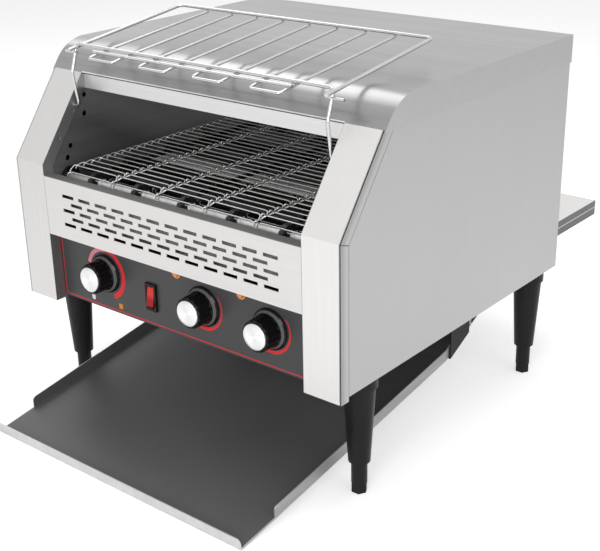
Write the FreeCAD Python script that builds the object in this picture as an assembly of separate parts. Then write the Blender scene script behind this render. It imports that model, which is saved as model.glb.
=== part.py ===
import FreeCAD, Part
import math
import os

os.makedirs("parts", exist_ok=True)

# Driving dimensions, in millimetres: x to the right, y to the back, z up.
# Heights are above the table, depths are behind the front faces of the posts.
body_width = 468.0
body_depth = 434.0
body_top = 419.0
side_bottom = 135.5
sheet = 1.2
post_width = 47.0
post_bottom = 130.5
post_kink = 297.0
slope_depth = 68.0
slope_top = 389.5
lip_length = 10.3
fit_gap = 0.3
run_gap = 0.4
pin_clearance = 0.05
overrun = 5.0

body_half = body_width / 2
wall_outer = body_half - post_width + 2 * sheet
wall_face = wall_outer - sheet
mouth_half = body_half - post_width
panel_gap = 0.2
slope = math.atan2(slope_top - post_kink, slope_depth)
shoulder_radius = (body_top - slope_top - lip_length * math.sin(slope)) / (1 - math.cos(slope))
shoulder_y = slope_depth + lip_length * math.cos(slope) + shoulder_radius * math.sin(slope)
shoulder_z = body_top - shoulder_radius

# Exit chute and rear shelf, which give the front and rear ends of the whole
chute_lip_y = -101.0
chute_lip_z = 0.5
lip_lean = 2.0
chute_end_space = 118.0
chute_end_length = 53.0
chute_rise_share = 0.1625
chute_end_rise_share = 0.5
shelf_reach = 108.0

chute_half = wall_face - panel_gap
chute_rear_y = body_depth - chute_end_space
chute_bend_y = chute_rear_y - chute_end_length
chute_bend_z = chute_lip_z + chute_rise_share * (chute_bend_y - chute_lip_y)
chute_rear_z = chute_bend_z + chute_end_rise_share * chute_end_length
centre_y = (body_depth + shelf_reach + chute_lip_y - lip_lean) / 2


def vec(x, y, z):
    return FreeCAD.Vector(x, y, z)


def block(x0, x1, y0, y1, z0, z1):
    """Box between two corners."""
    return Part.makeBox(x1 - x0, y1 - y0, z1 - z0, vec(x0, y0, z0))


def rod(start, end, radius):
    """Round bar between two points."""
    return Part.makeCylinder(radius, (end - start).Length, start, end - start)


def cone(start, end, radius_start, radius_end):
    """Tapered round bar between two points."""
    return Part.makeCone(radius_start, radius_end, (end - start).Length, start, end - start)


def prism(points, x0, x1):
    """Outline of (y, z) points, carried from x0 to x1."""
    corners = [vec(x0, y, z) for y, z in points]
    return Part.Face(Part.makePolygon(corners + corners[:1])).extrude(vec(x1 - x0, 0, 0))


def fuse(shapes):
    """One solid from shapes that touch or cross."""
    return shapes[0].multiFuse(shapes[1:]).removeSplitter()


def mirror(shape):
    """The same piece for the other side."""
    return shape.mirror(vec(0, 0, 0), vec(1, 0, 0))


def bent_wire(points, radius, bend):
    """Wire through points, with an arc of radius bend at each inner point."""
    edges = []
    last = points[0]
    for before, corner, after in zip(points, points[1:], points[2:]):
        arrive = (corner - before).normalize()
        leave = (after - corner).normalize()
        turn = arrive.getAngle(leave)
        setback = bend * math.tan(turn / 2)
        start = corner - arrive * setback
        end = corner + leave * setback
        inward = (leave - arrive).normalize()
        middle = corner + inward * (bend / math.cos(turn / 2) - bend)
        edges.append(Part.LineSegment(last, start).toShape())
        edges.append(Part.Arc(start, middle, end).toShape())
        last = end
    edges.append(Part.LineSegment(last, points[-1]).toShape())
    ring = Part.Wire(Part.Circle(points[0], points[1] - points[0], radius).toShape())
    return Part.Wire(edges).makePipeShell([ring], True, True)


def save(name, shapes):
    """Write one node, centred front to back on the whole object."""
    solids = [solid for shape in shapes for solid in shape.Solids]
    node = solids[0] if len(solids) == 1 else Part.makeCompound(solids)
    node.translate(vec(0, -centre_y, 0))
    node.exportStep("parts/" + name + ".step")


def front_line(inset, low, high):
    """Points (y, z) of the body's front outline moved inwards, from low up to high on the slope."""
    rise = math.sin(slope)
    run = math.cos(slope)
    kink = post_kink - inset * run + inset * (1 - rise) * rise / run
    top_y = inset * rise + (high - post_kink + inset * run) * run / rise
    return [(inset, low), (inset, kink), (top_y, high)]


def front_band(outer, inner, low, high, x0, x1):
    """Strip that follows the front outline between two insets."""
    return prism(front_line(outer, low, high) + front_line(inner, low, high)[::-1], x0, x1)


def side_outline(inset, low, rear, x0, x1):
    """Side outline of the body moved inwards: post, slope, round shoulder, flat top."""
    reach = shoulder_radius - inset
    start, kink, unused = front_line(inset, low, slope_top)
    arc_points = []
    for angle in (slope, slope / 2, 0):
        arc_points.append(vec(x0, shoulder_y - reach * math.sin(angle), shoulder_z + reach * math.cos(angle)))
    corners = [vec(x0, start[0], start[1]), vec(x0, kink[0], kink[1]), arc_points[0]]
    tail = [arc_points[2], vec(x0, rear, body_top - inset), vec(x0, rear, low), corners[0]]
    arc = Part.Arc(arc_points[0], arc_points[1], arc_points[2]).toShape()
    edges = Part.makePolygon(corners).Edges + [arc] + Part.makePolygon(tail).Edges
    return Part.Face(Part.Wire(edges)).extrude(vec(x1 - x0, 0, 0))


# Side panels: flat sheet between the post's tab and the back
tab_width = 12.0
seam = 0.5


def side_panel():
    plate = side_outline(sheet, side_bottom, body_depth, body_half - sheet, body_half)
    tab_place = front_band(0, tab_width + seam, post_bottom - overrun, slope_top, 0, body_half + overrun)
    return plate.cut(tab_place)


save("right_side_panel", [side_panel()])
save("left_side_panel", [mirror(side_panel())])

# Front posts: folded strip with a tab on the side, a return towards the mouth and a corner groove
return_depth = 14.0
groove_width = 1.2
groove_depth = 0.8
rack_pivot_y = 56.0
rack_pivot_z = 354.0
rack_wire = 2.0
post_hole = 1.8
post_hole_places = [(50.5, 348.5), (27.4, 321.5)]


def wall_drill(y, z, radius):
    return rod(vec(mouth_half - overrun, y, z), vec(body_half - overrun, y, z), radius)


def front_post():
    face = front_band(0, sheet, post_bottom, slope_top, mouth_half, body_half)
    tab = front_band(0, tab_width, post_bottom, slope_top, body_half - sheet, body_half)
    inner = front_band(0, return_depth, post_bottom, slope_top, mouth_half, wall_face)
    groove_x = body_half - sheet
    groove_bottom = post_bottom - overrun
    groove = front_band(-overrun, groove_depth, groove_bottom, slope_top, groove_x - groove_width, groove_x)
    drills = [wall_drill(rack_pivot_y, rack_pivot_z, rack_wire + run_gap)]
    drills += [wall_drill(y, z, post_hole) for y, z in post_hole_places]
    return fuse([face, tab, inner]).cut(groove).cut(Part.makeCompound(drills))


save("right_front_post", [front_post()])
save("left_front_post", [mirror(front_post())])

# Wire belt, which the shafts, walls and heaters are placed by
belt_pitch = 12.0
belt_wire = 1.0
belt_side_gap = 12.0
belt_spaces = 5
wheel_pitches = 8
belt_top = 290.0
belt_front = 22.0
belt_end_space = 55.4

loop_radius = wheel_pitches * belt_pitch / (2 * math.pi)
shaft_z = belt_top - belt_wire - loop_radius
belt_half = mouth_half - belt_side_gap
idler_y = belt_front + belt_wire + loop_radius
belt_run = body_depth - belt_end_space - belt_front - 2 * (belt_wire + loop_radius)
belt_run_pitches = round(belt_run / belt_pitch)
drive_y = idler_y + belt_run_pitches * belt_pitch
joint_columns = [belt_half * (2 * column / belt_spaces - 1) for column in range(belt_spaces + 1)]

# Inner walls: they carry the shafts, the heaters and the rack, and have the round holes seen in the mouth
bush_outer = 9.0
shaft_radius = 5.0
motor_setback = 177.3
motor_z = 190.0
motor_y = drive_y - motor_setback
boss_radius = 11.0
wall_hole = 3.2
wall_hole_places = [(70.2, 363.5), (68.2, 341.8), (43.6, 309.0), (37.9, 296.0)]


def inner_wall():
    plate = side_outline(sheet, side_bottom, body_depth - sheet, wall_face, wall_outer)
    drills = [wall_drill(y, shaft_z, bush_outer) for y in (idler_y, drive_y)]
    drills.append(wall_drill(rack_pivot_y, rack_pivot_z, rack_wire + run_gap))
    drills += [wall_drill(y, z, wall_hole) for y, z in wall_hole_places]
    return plate.cut(Part.makeCompound(drills))


save("left_inner_wall", [mirror(inner_wall())])
save("right_inner_wall", [inner_wall().cut(wall_drill(motor_y, motor_z, boss_radius + fit_gap))])

# Top cover: lip, round shoulder and flat top in one sheet, with skirts outside the side panels and back
skirt_bottom = 387.0
cover_screw_shares = (-0.85, -0.3, 0.3, 0.85)
screw_radius = 2.0
screw_head = 3.8
screw_head_height = 2.0
screw_length = 3.6
screw_edge = 12.0
cover_half = body_half + sheet


def rear_drill(x, z):
    return rod(vec(x, body_depth - overrun, z), vec(x, body_depth + overrun, z), screw_radius + pin_clearance)


cover_screws = [(share * body_half, skirt_bottom + screw_edge) for share in cover_screw_shares]


def top_cover():
    outer = side_outline(0, post_bottom, body_depth + sheet, -cover_half, cover_half)
    inner = side_outline(sheet, post_bottom, body_depth, -body_half, body_half)
    low_inside = block(-body_half, body_half, -overrun, body_depth, 0, slope_top)
    low_outside = block(-cover_half, cover_half, -overrun, body_depth + 2 * sheet, 0, skirt_bottom)
    cover = outer.cut(inner).cut(low_inside).cut(low_outside)
    return cover.cut(Part.makeCompound([rear_drill(x, z) for x, z in cover_screws]))


save("top_cover", [top_cover()])

# Rear panel: flat sheet between the side panels, with vent slots, shelf and gland holes
shelf_top = 189.5
shelf_hang = 18.5
shelf_inset = 4.0
shelf_flange = 16.0
shelf_screw_shares = (-0.8, -0.28, 0.28, 0.8)
rear_slot_count = 9
rear_slot_rows = 4
rear_slot_length = 26.0
rear_slot_height = 4.0
rear_slot_margin = 72.0
rear_slot_row_pitch = 10.0
rear_slot_low = 330.0
gland_z = 155.0
gland_radius = 8.0
shelf_half = body_half - shelf_inset
rear_slot_pitch = 2 * (body_half - rear_slot_margin) / rear_slot_count
gland_x = -(wall_outer + body_half) / 2
shelf_screws = [(share * shelf_half, shelf_top + shelf_flange / 2) for share in shelf_screw_shares]


def slot(x, z, length, height, y0, y1):
    return block(x - length / 2, x + length / 2, y0, y1, z - height / 2, z + height / 2)


def rear_panel():
    half = body_half - sheet
    plate = block(-half, half, body_depth - sheet, body_depth, side_bottom, body_top - sheet)
    cuts = [rear_drill(x, z) for x, z in cover_screws + shelf_screws]
    for row in range(rear_slot_rows):
        for column in range(rear_slot_count):
            x = (column - (rear_slot_count - 1) / 2) * rear_slot_pitch
            z = rear_slot_low + row * rear_slot_row_pitch
            y1 = body_depth + overrun
            cuts.append(slot(x, z, rear_slot_length, rear_slot_height, body_depth - overrun, y1))
    gland_end = vec(gland_x, body_depth + overrun, gland_z)
    cuts.append(rod(vec(gland_x, body_depth - overrun, gland_z), gland_end, gland_radius))
    return plate.cut(Part.makeCompound(cuts))


save("rear_panel", [rear_panel()])

# Cable gland in the rear panel: thread, hex nut outside and lock nut inside
gland_nut = 11.0
gland_nut_depth = 6.0
gland_dome = 10.0
gland_bore = 3.6


def hexagon(centre, across_corners, depth, axis):
    """Six-sided block, half across_corners from its middle to a corner."""
    side = vec(across_corners, 0, 0)
    corners = []
    for step in range(6):
        corners.append(centre + FreeCAD.Rotation(axis, 60 * step).multVec(side))
    return Part.Face(Part.makePolygon(corners + corners[:1])).extrude(axis * depth)


def cable_gland():
    y0 = body_depth
    back = vec(0, 1, 0)
    outer_nut = hexagon(vec(gland_x, y0, gland_z), gland_nut, gland_nut_depth, back)
    lock_nut = hexagon(vec(gland_x, y0 - sheet - gland_nut_depth, gland_z), gland_nut, gland_nut_depth, back)
    thread_start = vec(gland_x, y0 - sheet - gland_nut_depth, gland_z)
    thread = rod(thread_start, vec(gland_x, y0, gland_z), gland_radius - pin_clearance)
    dome_start = vec(gland_x, y0 + gland_nut_depth, gland_z)
    dome_mouth = gland_radius / 2 + gland_bore / 2
    dome = cone(dome_start, dome_start + vec(0, gland_dome, 0), gland_radius, dome_mouth)
    bore = rod(thread_start - vec(0, overrun, 0), dome_start + vec(0, gland_dome + overrun, 0), gland_bore)
    return fuse([outer_nut, lock_nut, thread, dome]).cut(bore)


save("cable_gland", [cable_gland()])

# Rear shelf: folded plate with hanging edges, a hem, and a flange screwed to the back
hem_depth = 2.5


def rear_shelf():
    y0 = body_depth
    y1 = body_depth + shelf_reach
    low = shelf_top - shelf_hang
    top = block(-shelf_half, shelf_half, y0, y1, shelf_top - sheet, shelf_top)
    flange = block(-shelf_half, shelf_half, y0, y0 + sheet, shelf_top - sheet, shelf_top + shelf_flange)
    rear_edge = block(-shelf_half, shelf_half, y1 - sheet, y1, low, shelf_top)
    rear_hem = block(-shelf_half, shelf_half, y1 - hem_depth, y1, low, low + sheet)
    pieces = [top, flange, rear_edge, rear_hem]
    for x0, inward in ((-shelf_half, 1), (shelf_half, -1)):
        edge_x = sorted((x0, x0 + inward * sheet))
        hem_x = sorted((x0, x0 + inward * hem_depth))
        pieces.append(block(edge_x[0], edge_x[1], y0, y1, low, shelf_top))
        pieces.append(block(hem_x[0], hem_x[1], y0, y1, low, low + sheet))
    return fuse(pieces).cut(Part.makeCompound([rear_drill(x, z) for x, z in shelf_screws]))


save("rear_shelf", [rear_shelf()])


# Screws that hold the cover and the shelf to the back, from outside
def rear_screw(x, z, y):
    crown = screw_head - screw_head_height / 2
    head = cone(vec(x, y, z), vec(x, y + screw_head_height, z), screw_head, crown)
    return fuse([head, rod(vec(x, y - screw_length, z), vec(x, y, z), screw_radius)])


save("screws", [rear_screw(x, z, body_depth + sheet) for x, z in cover_screws + shelf_screws])

# Vent panel: five staggered rows of slots, a ledge folded back on top and a flange behind
vent_bottom = 215.0
vent_top = 284.0
ledge_depth = 13.0
ledge_flange_z = 230.0
shield_z = 240.0
slot_share = 0.7
slot_height = 3.8
slot_margin = 25.0
slot_row_pitch = 8.4
slot_count = 12
slot_rows = 5
slot_pitch = 2 * (mouth_half - slot_margin) / slot_count
slot_length = slot_pitch * slot_share


def vent_panel():
    half = mouth_half - panel_gap
    face = block(-half, half, 0, sheet, vent_bottom, vent_top)
    ledge = block(-half, half, 0, ledge_depth + sheet, vent_top - sheet, vent_top)
    flange = block(-half, half, ledge_depth, ledge_depth + sheet, ledge_flange_z, vent_top)
    foot = block(-half, half, 0, ledge_depth, vent_bottom, vent_bottom + sheet)
    cuts = []
    middle = (vent_bottom + vent_top) / 2
    for row in range(slot_rows):
        count = slot_count - row % 2
        z = middle + (row - (slot_rows - 1) / 2) * slot_row_pitch
        for column in range(count):
            x = (column - (count - 1) / 2) * slot_pitch
            cuts.append(slot(x, z, slot_length, slot_height, -overrun, sheet + overrun))
    return fuse([face, ledge, flange, foot]).cut(Part.makeCompound(cuts))


save("vent_panel", [vent_panel()])

# Control panel: dark sheet set back behind the posts, drilled for knobs, lamps and switch
panel_y = 15.0
panel_bottom = 134.0
panel_return = 20.0
knob_z = 179.0
speed_x = mouth_half * -0.6
upper_x = mouth_half * 0.214
lower_x = mouth_half * 0.711
bush_radius = 5.0
lamp_z = 208.0
lamp_offset = 38.3
lamp_radius = 5.0
switch_x = mouth_half * -0.206
switch_z = 169.0
switch_half_width = 6.5
switch_half_height = 14.5
panel_back = panel_y + sheet


def panel_drill(x, z, radius):
    return rod(vec(x, panel_y - overrun, z), vec(x, panel_back + overrun, z), radius)


def control_panel():
    half = wall_face - panel_gap
    face = block(-half, half, panel_y, panel_back, panel_bottom, vent_bottom - panel_gap)
    foot = block(-half, half, panel_y, panel_y + panel_return, panel_bottom, panel_bottom + sheet)
    cuts = [panel_drill(x, knob_z, bush_radius + pin_clearance) for x in (speed_x, upper_x, lower_x)]
    cuts += [panel_drill(x - lamp_offset, lamp_z, lamp_radius + pin_clearance) for x in (upper_x, lower_x)]
    half_width = switch_half_width + pin_clearance
    half_height = switch_half_height + pin_clearance
    front = panel_y - overrun
    cuts.append(slot(switch_x, switch_z, 2 * half_width, 2 * half_height, front, panel_back + overrun))
    return fuse([face, foot]).cut(Part.makeCompound(cuts))


save("control_panel", [control_panel()])

# Control knobs: flared skirt, scalloped grip and a spindle that turns in the control's bush
skirt_radius = 22.8
skirt_depth = 6.0
grip_radius = 17.6
grip_front = -9.6
scallop_count = 18
scallop_radius = 1.5
spindle_radius = 3.0
spindle_back = 30.0
cap_radius = 14.4
cap_depth = 1.6
pointer_width = 2.4
pointer_depth = 1.0
knob_back = panel_y - run_gap


def knob(x):
    skirt_front = knob_back - skirt_depth
    skirt = cone(vec(x, skirt_front, knob_z), vec(x, knob_back, knob_z), grip_radius, skirt_radius)
    grip = rod(vec(x, grip_front, knob_z), vec(x, knob_back, knob_z), grip_radius)
    spindle = rod(vec(x, grip_front, knob_z), vec(x, spindle_back, knob_z), spindle_radius)
    notches = []
    for step in range(scallop_count):
        angle = 2 * math.pi * (step + 0.5) / scallop_count
        place = vec(x + grip_radius * math.sin(angle), 0, knob_z + grip_radius * math.cos(angle))
        start = place + vec(0, grip_front - overrun, 0)
        notches.append(rod(start, place + vec(0, skirt_front - scallop_radius, 0), scallop_radius))
    grip = grip.cut(Part.makeCompound(notches))
    low = knob_z - grip_radius - pointer_depth
    half = pointer_width / 2
    pointer = block(x - half, x + half, grip_front, knob_back - pointer_depth, low, knob_z)
    return fuse([skirt, grip, spindle, pointer])


def knob_cap(x):
    front = vec(x, grip_front - cap_depth, knob_z)
    return rod(front, vec(x, grip_front, knob_z), cap_radius)


for name, x in (("speed_knob", speed_x), ("upper_heat_knob", upper_x), ("lower_heat_knob", lower_x)):
    save(name, [knob(x)])
    save(name + "_cap", [knob_cap(x)])

# Speed control and heat regulators behind the panel, each with a bush for its spindle
regulator_half = 22.0
regulator_depth = 30.0
speed_half = 18.0
speed_depth = 34.0


def control_body(x, half, depth):
    case = block(x - half, x + half, panel_back, panel_back + depth, knob_z - half, knob_z + half)
    bush = rod(vec(x, panel_y, knob_z), vec(x, panel_back, knob_z), bush_radius)
    bore_end = vec(x, spindle_back + fit_gap, knob_z)
    bore = rod(vec(x, panel_y - overrun, knob_z), bore_end, spindle_radius + pin_clearance)
    return fuse([case, bush]).cut(bore)


save("speed_control", [control_body(speed_x, speed_half, speed_depth)])
save("upper_heat_regulator", [control_body(upper_x, regulator_half, regulator_depth)])
save("lower_heat_regulator", [control_body(lower_x, regulator_half, regulator_depth)])

# Rocker switch: frame with a well, and a lit rocker that tips about a pin in it
bezel_edge = 1.6
bezel_depth = 3.0
rocker_radius = 12.4
rocker_half_width = 5.0
rocker_pivot_y = 17.0
rocker_in = 3.9
rocker_mid = 5.2
rocker_out = 7.2
rocker_pin = 1.0
well_wall = 1.0
throw_back = 4.0


def rocker_frame():
    x0 = switch_x - switch_half_width
    x1 = switch_x + switch_half_width
    z0 = switch_z - switch_half_height
    z1 = switch_z + switch_half_height
    well_back = rocker_pivot_y + rocker_radius + fit_gap
    case = block(x0, x1, panel_y, well_back + throw_back, z0, z1)
    bezel_y = panel_y - bezel_depth
    bezel = block(x0 - bezel_edge, x1 + bezel_edge, bezel_y, panel_y, z0 - bezel_edge, z1 + bezel_edge)
    clear_x = rocker_half_width + fit_gap
    clear_z = rocker_radius + fit_gap
    well_front = panel_y - bezel_depth - overrun
    well = slot(switch_x, switch_z, 2 * clear_x, 2 * clear_z, well_front, well_back)
    pin_reach = clear_x + well_wall
    pin_start = vec(switch_x - pin_reach, rocker_pivot_y, switch_z)
    pin_hole = rod(pin_start, vec(switch_x + pin_reach, rocker_pivot_y, switch_z), rocker_pin + pin_clearance)
    return fuse([case, bezel]).cut(well).cut(pin_hole)


def power_rocker():
    """Round-backed rocker: its front has two flats, the upper one pressed in."""
    high = math.sqrt(rocker_radius ** 2 - rocker_in ** 2)
    low = math.sqrt(rocker_radius ** 2 - rocker_out ** 2)
    outline = [(-rocker_in, high), (-rocker_mid, 0), (-rocker_out, -low)]
    outline += [(rocker_radius, -rocker_radius), (rocker_radius, rocker_radius), (-rocker_in, rocker_radius)]
    places = [(rocker_pivot_y + y, switch_z + z) for y, z in outline]
    x0 = switch_x - rocker_half_width
    x1 = switch_x + rocker_half_width
    drum = rod(vec(x0, rocker_pivot_y, switch_z), vec(x1, rocker_pivot_y, switch_z), rocker_radius)
    pin_reach = rocker_half_width + fit_gap + well_wall - fit_gap / 2
    pin_start = vec(switch_x - pin_reach, rocker_pivot_y, switch_z)
    pin = rod(pin_start, vec(switch_x + pin_reach, rocker_pivot_y, switch_z), rocker_pin)
    return fuse([drum.common(prism(places, x0, x1)), pin])


save("rocker_frame", [rocker_frame()])
save("power_rocker", [power_rocker()])

# Indicator lamps: domed lens on a flange, with a body through the panel
lamp_flange = 6.5
lamp_flange_depth = 1.0
lamp_body_depth = 14.0
lamp_dome = 2.2


def indicator_lamp(x):
    flange_front = panel_y - lamp_flange_depth
    flange = rod(vec(x, flange_front, lamp_z), vec(x, panel_y, lamp_z), lamp_flange)
    dome_front = vec(x, flange_front - lamp_dome, lamp_z)
    lens = cone(vec(x, flange_front, lamp_z), dome_front, lamp_radius, lamp_radius - lamp_dome / 2)
    case = rod(vec(x, panel_y, lamp_z), vec(x, panel_y + lamp_body_depth, lamp_z), lamp_radius)
    return fuse([flange, lens, case])


save("indicator_lamps", [indicator_lamp(x - lamp_offset) for x in (upper_x, lower_x)])

# Base channels: they close the side spaces below and carry the legs
channel_flange = 12.0


def base_channel():
    x0 = wall_outer
    x1 = body_half - sheet
    y0 = sheet + panel_gap
    y1 = body_depth - sheet
    floor = block(x0, x1, y0, y1, side_bottom, side_bottom + sheet)
    inner = block(x0, x0 + sheet, y0, y1, side_bottom, side_bottom + channel_flange)
    outer = block(x1 - sheet, x1, y0, y1, side_bottom, side_bottom + channel_flange)
    return fuse([floor, inner, outer])


save("right_base_channel", [base_channel()])
save("left_base_channel", [mirror(base_channel())])

# Compartment under the belt: floor with the fan's opening, and a shield over and behind the electrics
chute_end_cover = 48.0
fan_setback = 78.0
fan_half = 40.0
fan_bore = 37.5
fan_depth = 25.0
floor_slot_length = 40.0
floor_slot_width = 4.0
floor_slot_count = 8
floor_slot_pitch = 10.0
floor_slot_share = 0.5
floor_slot_y = 80.0
floor_flange = 10.0
floor_top = panel_bottom + 2 * sheet
shield_y = chute_rear_y - chute_end_cover
fan_x = mouth_half * -0.32
fan_y = shield_y - fan_setback
floor_slot_x = mouth_half * floor_slot_share


def compartment_floor():
    z0 = panel_bottom + sheet
    plate = block(-wall_face, wall_face, panel_back, shield_y, z0, floor_top)
    cuts = [rod(vec(fan_x, fan_y, z0 - overrun), vec(fan_x, fan_y, floor_top + overrun), fan_bore)]
    for row in range(floor_slot_count):
        y = floor_slot_y + row * floor_slot_pitch
        x1 = floor_slot_x + floor_slot_length
        cuts.append(block(floor_slot_x, x1, y, y + floor_slot_width, z0 - overrun, floor_top + overrun))
    edges = []
    for x0, x1 in ((-wall_face, -wall_face + sheet), (wall_face - sheet, wall_face)):
        edges.append(block(x0, x1, panel_back, shield_y, z0, floor_top + floor_flange))
    return fuse([plate] + edges).cut(Part.makeCompound(cuts))


def heat_shield():
    roof = block(-wall_face, wall_face, ledge_depth + sheet, shield_y, shield_z, shield_z + sheet)
    back_bottom = floor_top + floor_flange
    back = block(-wall_face, wall_face, shield_y - sheet, shield_y, back_bottom, shield_z + sheet)
    return fuse([roof, back])


save("compartment_floor", [compartment_floor()])
save("heat_shield", [heat_shield()])

# Cooling fan on the compartment floor, with its rotor on a pin and a guard below the floor
fan_hub = 15.0
fan_pin = 1.5
fan_blades = 7
blade_thickness = 1.4
blade_reach = 34.5
blade_angle = 35.0
fan_strut = 4.0
strut_depth = 3.0
guard_rings = 4
ring_width = 2.0
guard_bar = 3.0


def fan_frame():
    z1 = floor_top + fan_depth
    case = block(fan_x - fan_half, fan_x + fan_half, fan_y - fan_half, fan_y + fan_half, floor_top, z1)
    case = case.cut(rod(vec(fan_x, fan_y, floor_top - overrun), vec(fan_x, fan_y, z1 + overrun), fan_bore))
    strut_z = z1 - strut_depth
    half = fan_strut / 2
    across = block(fan_x - fan_half, fan_x + fan_half, fan_y - half, fan_y + half, strut_z, z1)
    along = block(fan_x - half, fan_x + half, fan_y - fan_half, fan_y + fan_half, strut_z, z1)
    motor = rod(vec(fan_x, fan_y, strut_z), vec(fan_x, fan_y, z1), fan_hub)
    pin = rod(vec(fan_x, fan_y, floor_top + strut_depth), vec(fan_x, fan_y, z1), fan_pin)
    return fuse([case, across, along, motor, pin])


def fan_rotor():
    z0 = floor_top + strut_depth / 2
    z1 = floor_top + fan_depth - strut_depth - run_gap
    hub = rod(vec(fan_x, fan_y, z0), vec(fan_x, fan_y, z1), fan_hub)
    height = (z1 - z0) / 2
    blades = []
    for step in range(fan_blades):
        blade = block(fan_hub / 2, blade_reach, -blade_thickness / 2, blade_thickness / 2, -height, height)
        blade.rotate(vec(0, 0, 0), vec(1, 0, 0), blade_angle)
        blade.rotate(vec(0, 0, 0), vec(0, 0, 1), 360 * step / fan_blades)
        blade.translate(vec(fan_x, fan_y, (z0 + z1) / 2))
        blades.append(blade)
    limit = rod(vec(fan_x, fan_y, z0), vec(fan_x, fan_y, z1), blade_reach)
    hole_start = vec(fan_x, fan_y, floor_top + strut_depth - fit_gap)
    pin_hole = rod(hole_start, vec(fan_x, fan_y, z1 + overrun), fan_pin + pin_clearance)
    return fuse([hub] + blades).common(limit).cut(pin_hole)


def fan_guard():
    z1 = panel_bottom + sheet
    z0 = z1 - sheet
    pieces = []
    for ring in range(guard_rings):
        radius = fan_half * (ring + 1) / guard_rings
        outer = rod(vec(fan_x, fan_y, z0), vec(fan_x, fan_y, z1), radius)
        pieces.append(outer.cut(rod(vec(fan_x, fan_y, z0), vec(fan_x, fan_y, z1), radius - ring_width)))
    for half_x, half_y in ((fan_half, guard_bar / 2), (guard_bar / 2, fan_half)):
        bar = block(fan_x - half_x, fan_x + half_x, fan_y - half_y, fan_y + half_y, z0, z1)
        pieces.append(bar.common(rod(vec(fan_x, fan_y, z0), vec(fan_x, fan_y, z1), fan_half)))
    return fuse(pieces)


save("fan_frame", [fan_frame()])
save("fan_rotor", [fan_rotor()])
save("fan_guard", [fan_guard()])

# Terminal block on the compartment floor
terminal_x = mouth_half * 0.2
terminal_y = 110.0
terminal_length = 66.0
terminal_width = 22.0
terminal_height = 16.0
terminal_ways = 6
terminal_screw = 3.0
terminal_recess = 5.0


def terminal_block():
    z1 = floor_top + terminal_height
    x1 = terminal_x + terminal_length
    case = block(terminal_x, x1, terminal_y, terminal_y + terminal_width, floor_top, z1)
    cuts = []
    for way in range(terminal_ways):
        x = terminal_x + terminal_length * (way + 0.5) / terminal_ways
        for share in (0.25, 0.75):
            y = terminal_y + terminal_width * share
            cuts.append(rod(vec(x, y, z1 - terminal_recess), vec(x, y, z1 + overrun), terminal_screw))
    return case.cut(Part.makeCompound(cuts))


save("terminal_block", [terminal_block()])

# Front baffle: bright strip that hangs behind the cover's lip
baffle_y = 71.0
baffle_bottom = 371.5
baffle_top = 387.4
baffle_return = 15.0


def front_baffle():
    half = mouth_half - panel_gap
    face = block(-half, half, baffle_y, baffle_y + sheet, baffle_bottom, baffle_top)
    top = block(-half, half, baffle_y, baffle_y + baffle_return, baffle_top - sheet, baffle_top)
    return fuse([face, top])


save("front_baffle", [front_baffle()])

# Heater tubes above and between the belt's runs, in ceramic holders on the inner walls
tube_radius = 5.0
upper_tube_z = 366.0
upper_tube_shares = (0.25, 0.42, 0.59, 0.76)
lower_tube_z = 275.5
lower_tube_shares = (0.24, 0.455, 0.67)
holder_half = 8.0
holder_depth = 12.0
socket_depth = 7.0
reflector_rise = 18.0
reflector_edge = 12.0
reflector_margin = 30.0
reflector_gap = 3.3
trough_half = 24.0
trough_drop = 11.0
trough_wall = 5.0

upper_tube_y = [idler_y + share * (drive_y - idler_y) for share in upper_tube_shares]
lower_tube_y = [idler_y + share * (drive_y - idler_y) for share in lower_tube_shares]
heater_places = [(y, upper_tube_z) for y in upper_tube_y] + [(y, lower_tube_z) for y in lower_tube_y]
tube_half = wall_face - holder_depth + socket_depth


def heater_tube(y, z):
    return rod(vec(-tube_half, y, z), vec(tube_half, y, z), tube_radius)


def heater_holder(y, z):
    x0 = wall_face - holder_depth
    case = block(x0, wall_face, y - holder_half, y + holder_half, z - holder_half, z + holder_half)
    return case.cut(rod(vec(x0 - overrun, y, z), vec(tube_half, y, z), tube_radius + pin_clearance))


save("upper_heaters", [heater_tube(y, upper_tube_z) for y in upper_tube_y])
save("lower_heaters", [heater_tube(y, lower_tube_z) for y in lower_tube_y])
holders = [heater_holder(y, z) for y, z in heater_places]
save("heater_holders", holders + [mirror(holder) for holder in holders])


def upper_reflector():
    y0 = baffle_y + baffle_return + reflector_gap
    y1 = upper_tube_y[-1] + reflector_margin
    z1 = upper_tube_z + reflector_rise
    roof = block(-wall_face, wall_face, y0, y1, z1 - sheet, z1)
    front = block(-wall_face, wall_face, y0, y0 + sheet, z1 - reflector_edge, z1)
    back = block(-wall_face, wall_face, y1 - sheet, y1, z1 - reflector_edge, z1)
    return fuse([roof, front, back])


def lower_trough(y):
    z0 = lower_tube_z - trough_drop
    floor = block(-wall_face, wall_face, y - trough_half, y + trough_half, z0, z0 + sheet)
    walls = [floor]
    for y0 in (y - trough_half, y + trough_half - sheet):
        walls.append(block(-wall_face, wall_face, y0, y0 + sheet, z0, z0 + trough_wall))
    return fuse(walls)


save("upper_reflector", [upper_reflector()])
save("lower_reflector", [lower_trough(y) for y in lower_tube_y])

# Belt strands: each is a cross wire with hooks that reach back to the strand before it
hook_gap = 0.8
hook_wire = 0.8


def belt_strand():
    """One strand along x at the origin, its hooks pointing along +y."""
    reach = belt_pitch - 2 * belt_wire - hook_gap
    pieces = [rod(vec(-belt_half, 0, 0), vec(belt_half, 0, 0), belt_wire)]
    for column in joint_columns:
        x = column * (1 - belt_wire / belt_half)
        pieces.append(rod(vec(x, 0, 0), vec(x, belt_wire + reach, 0), hook_wire))
    return fuse(pieces)


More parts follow.
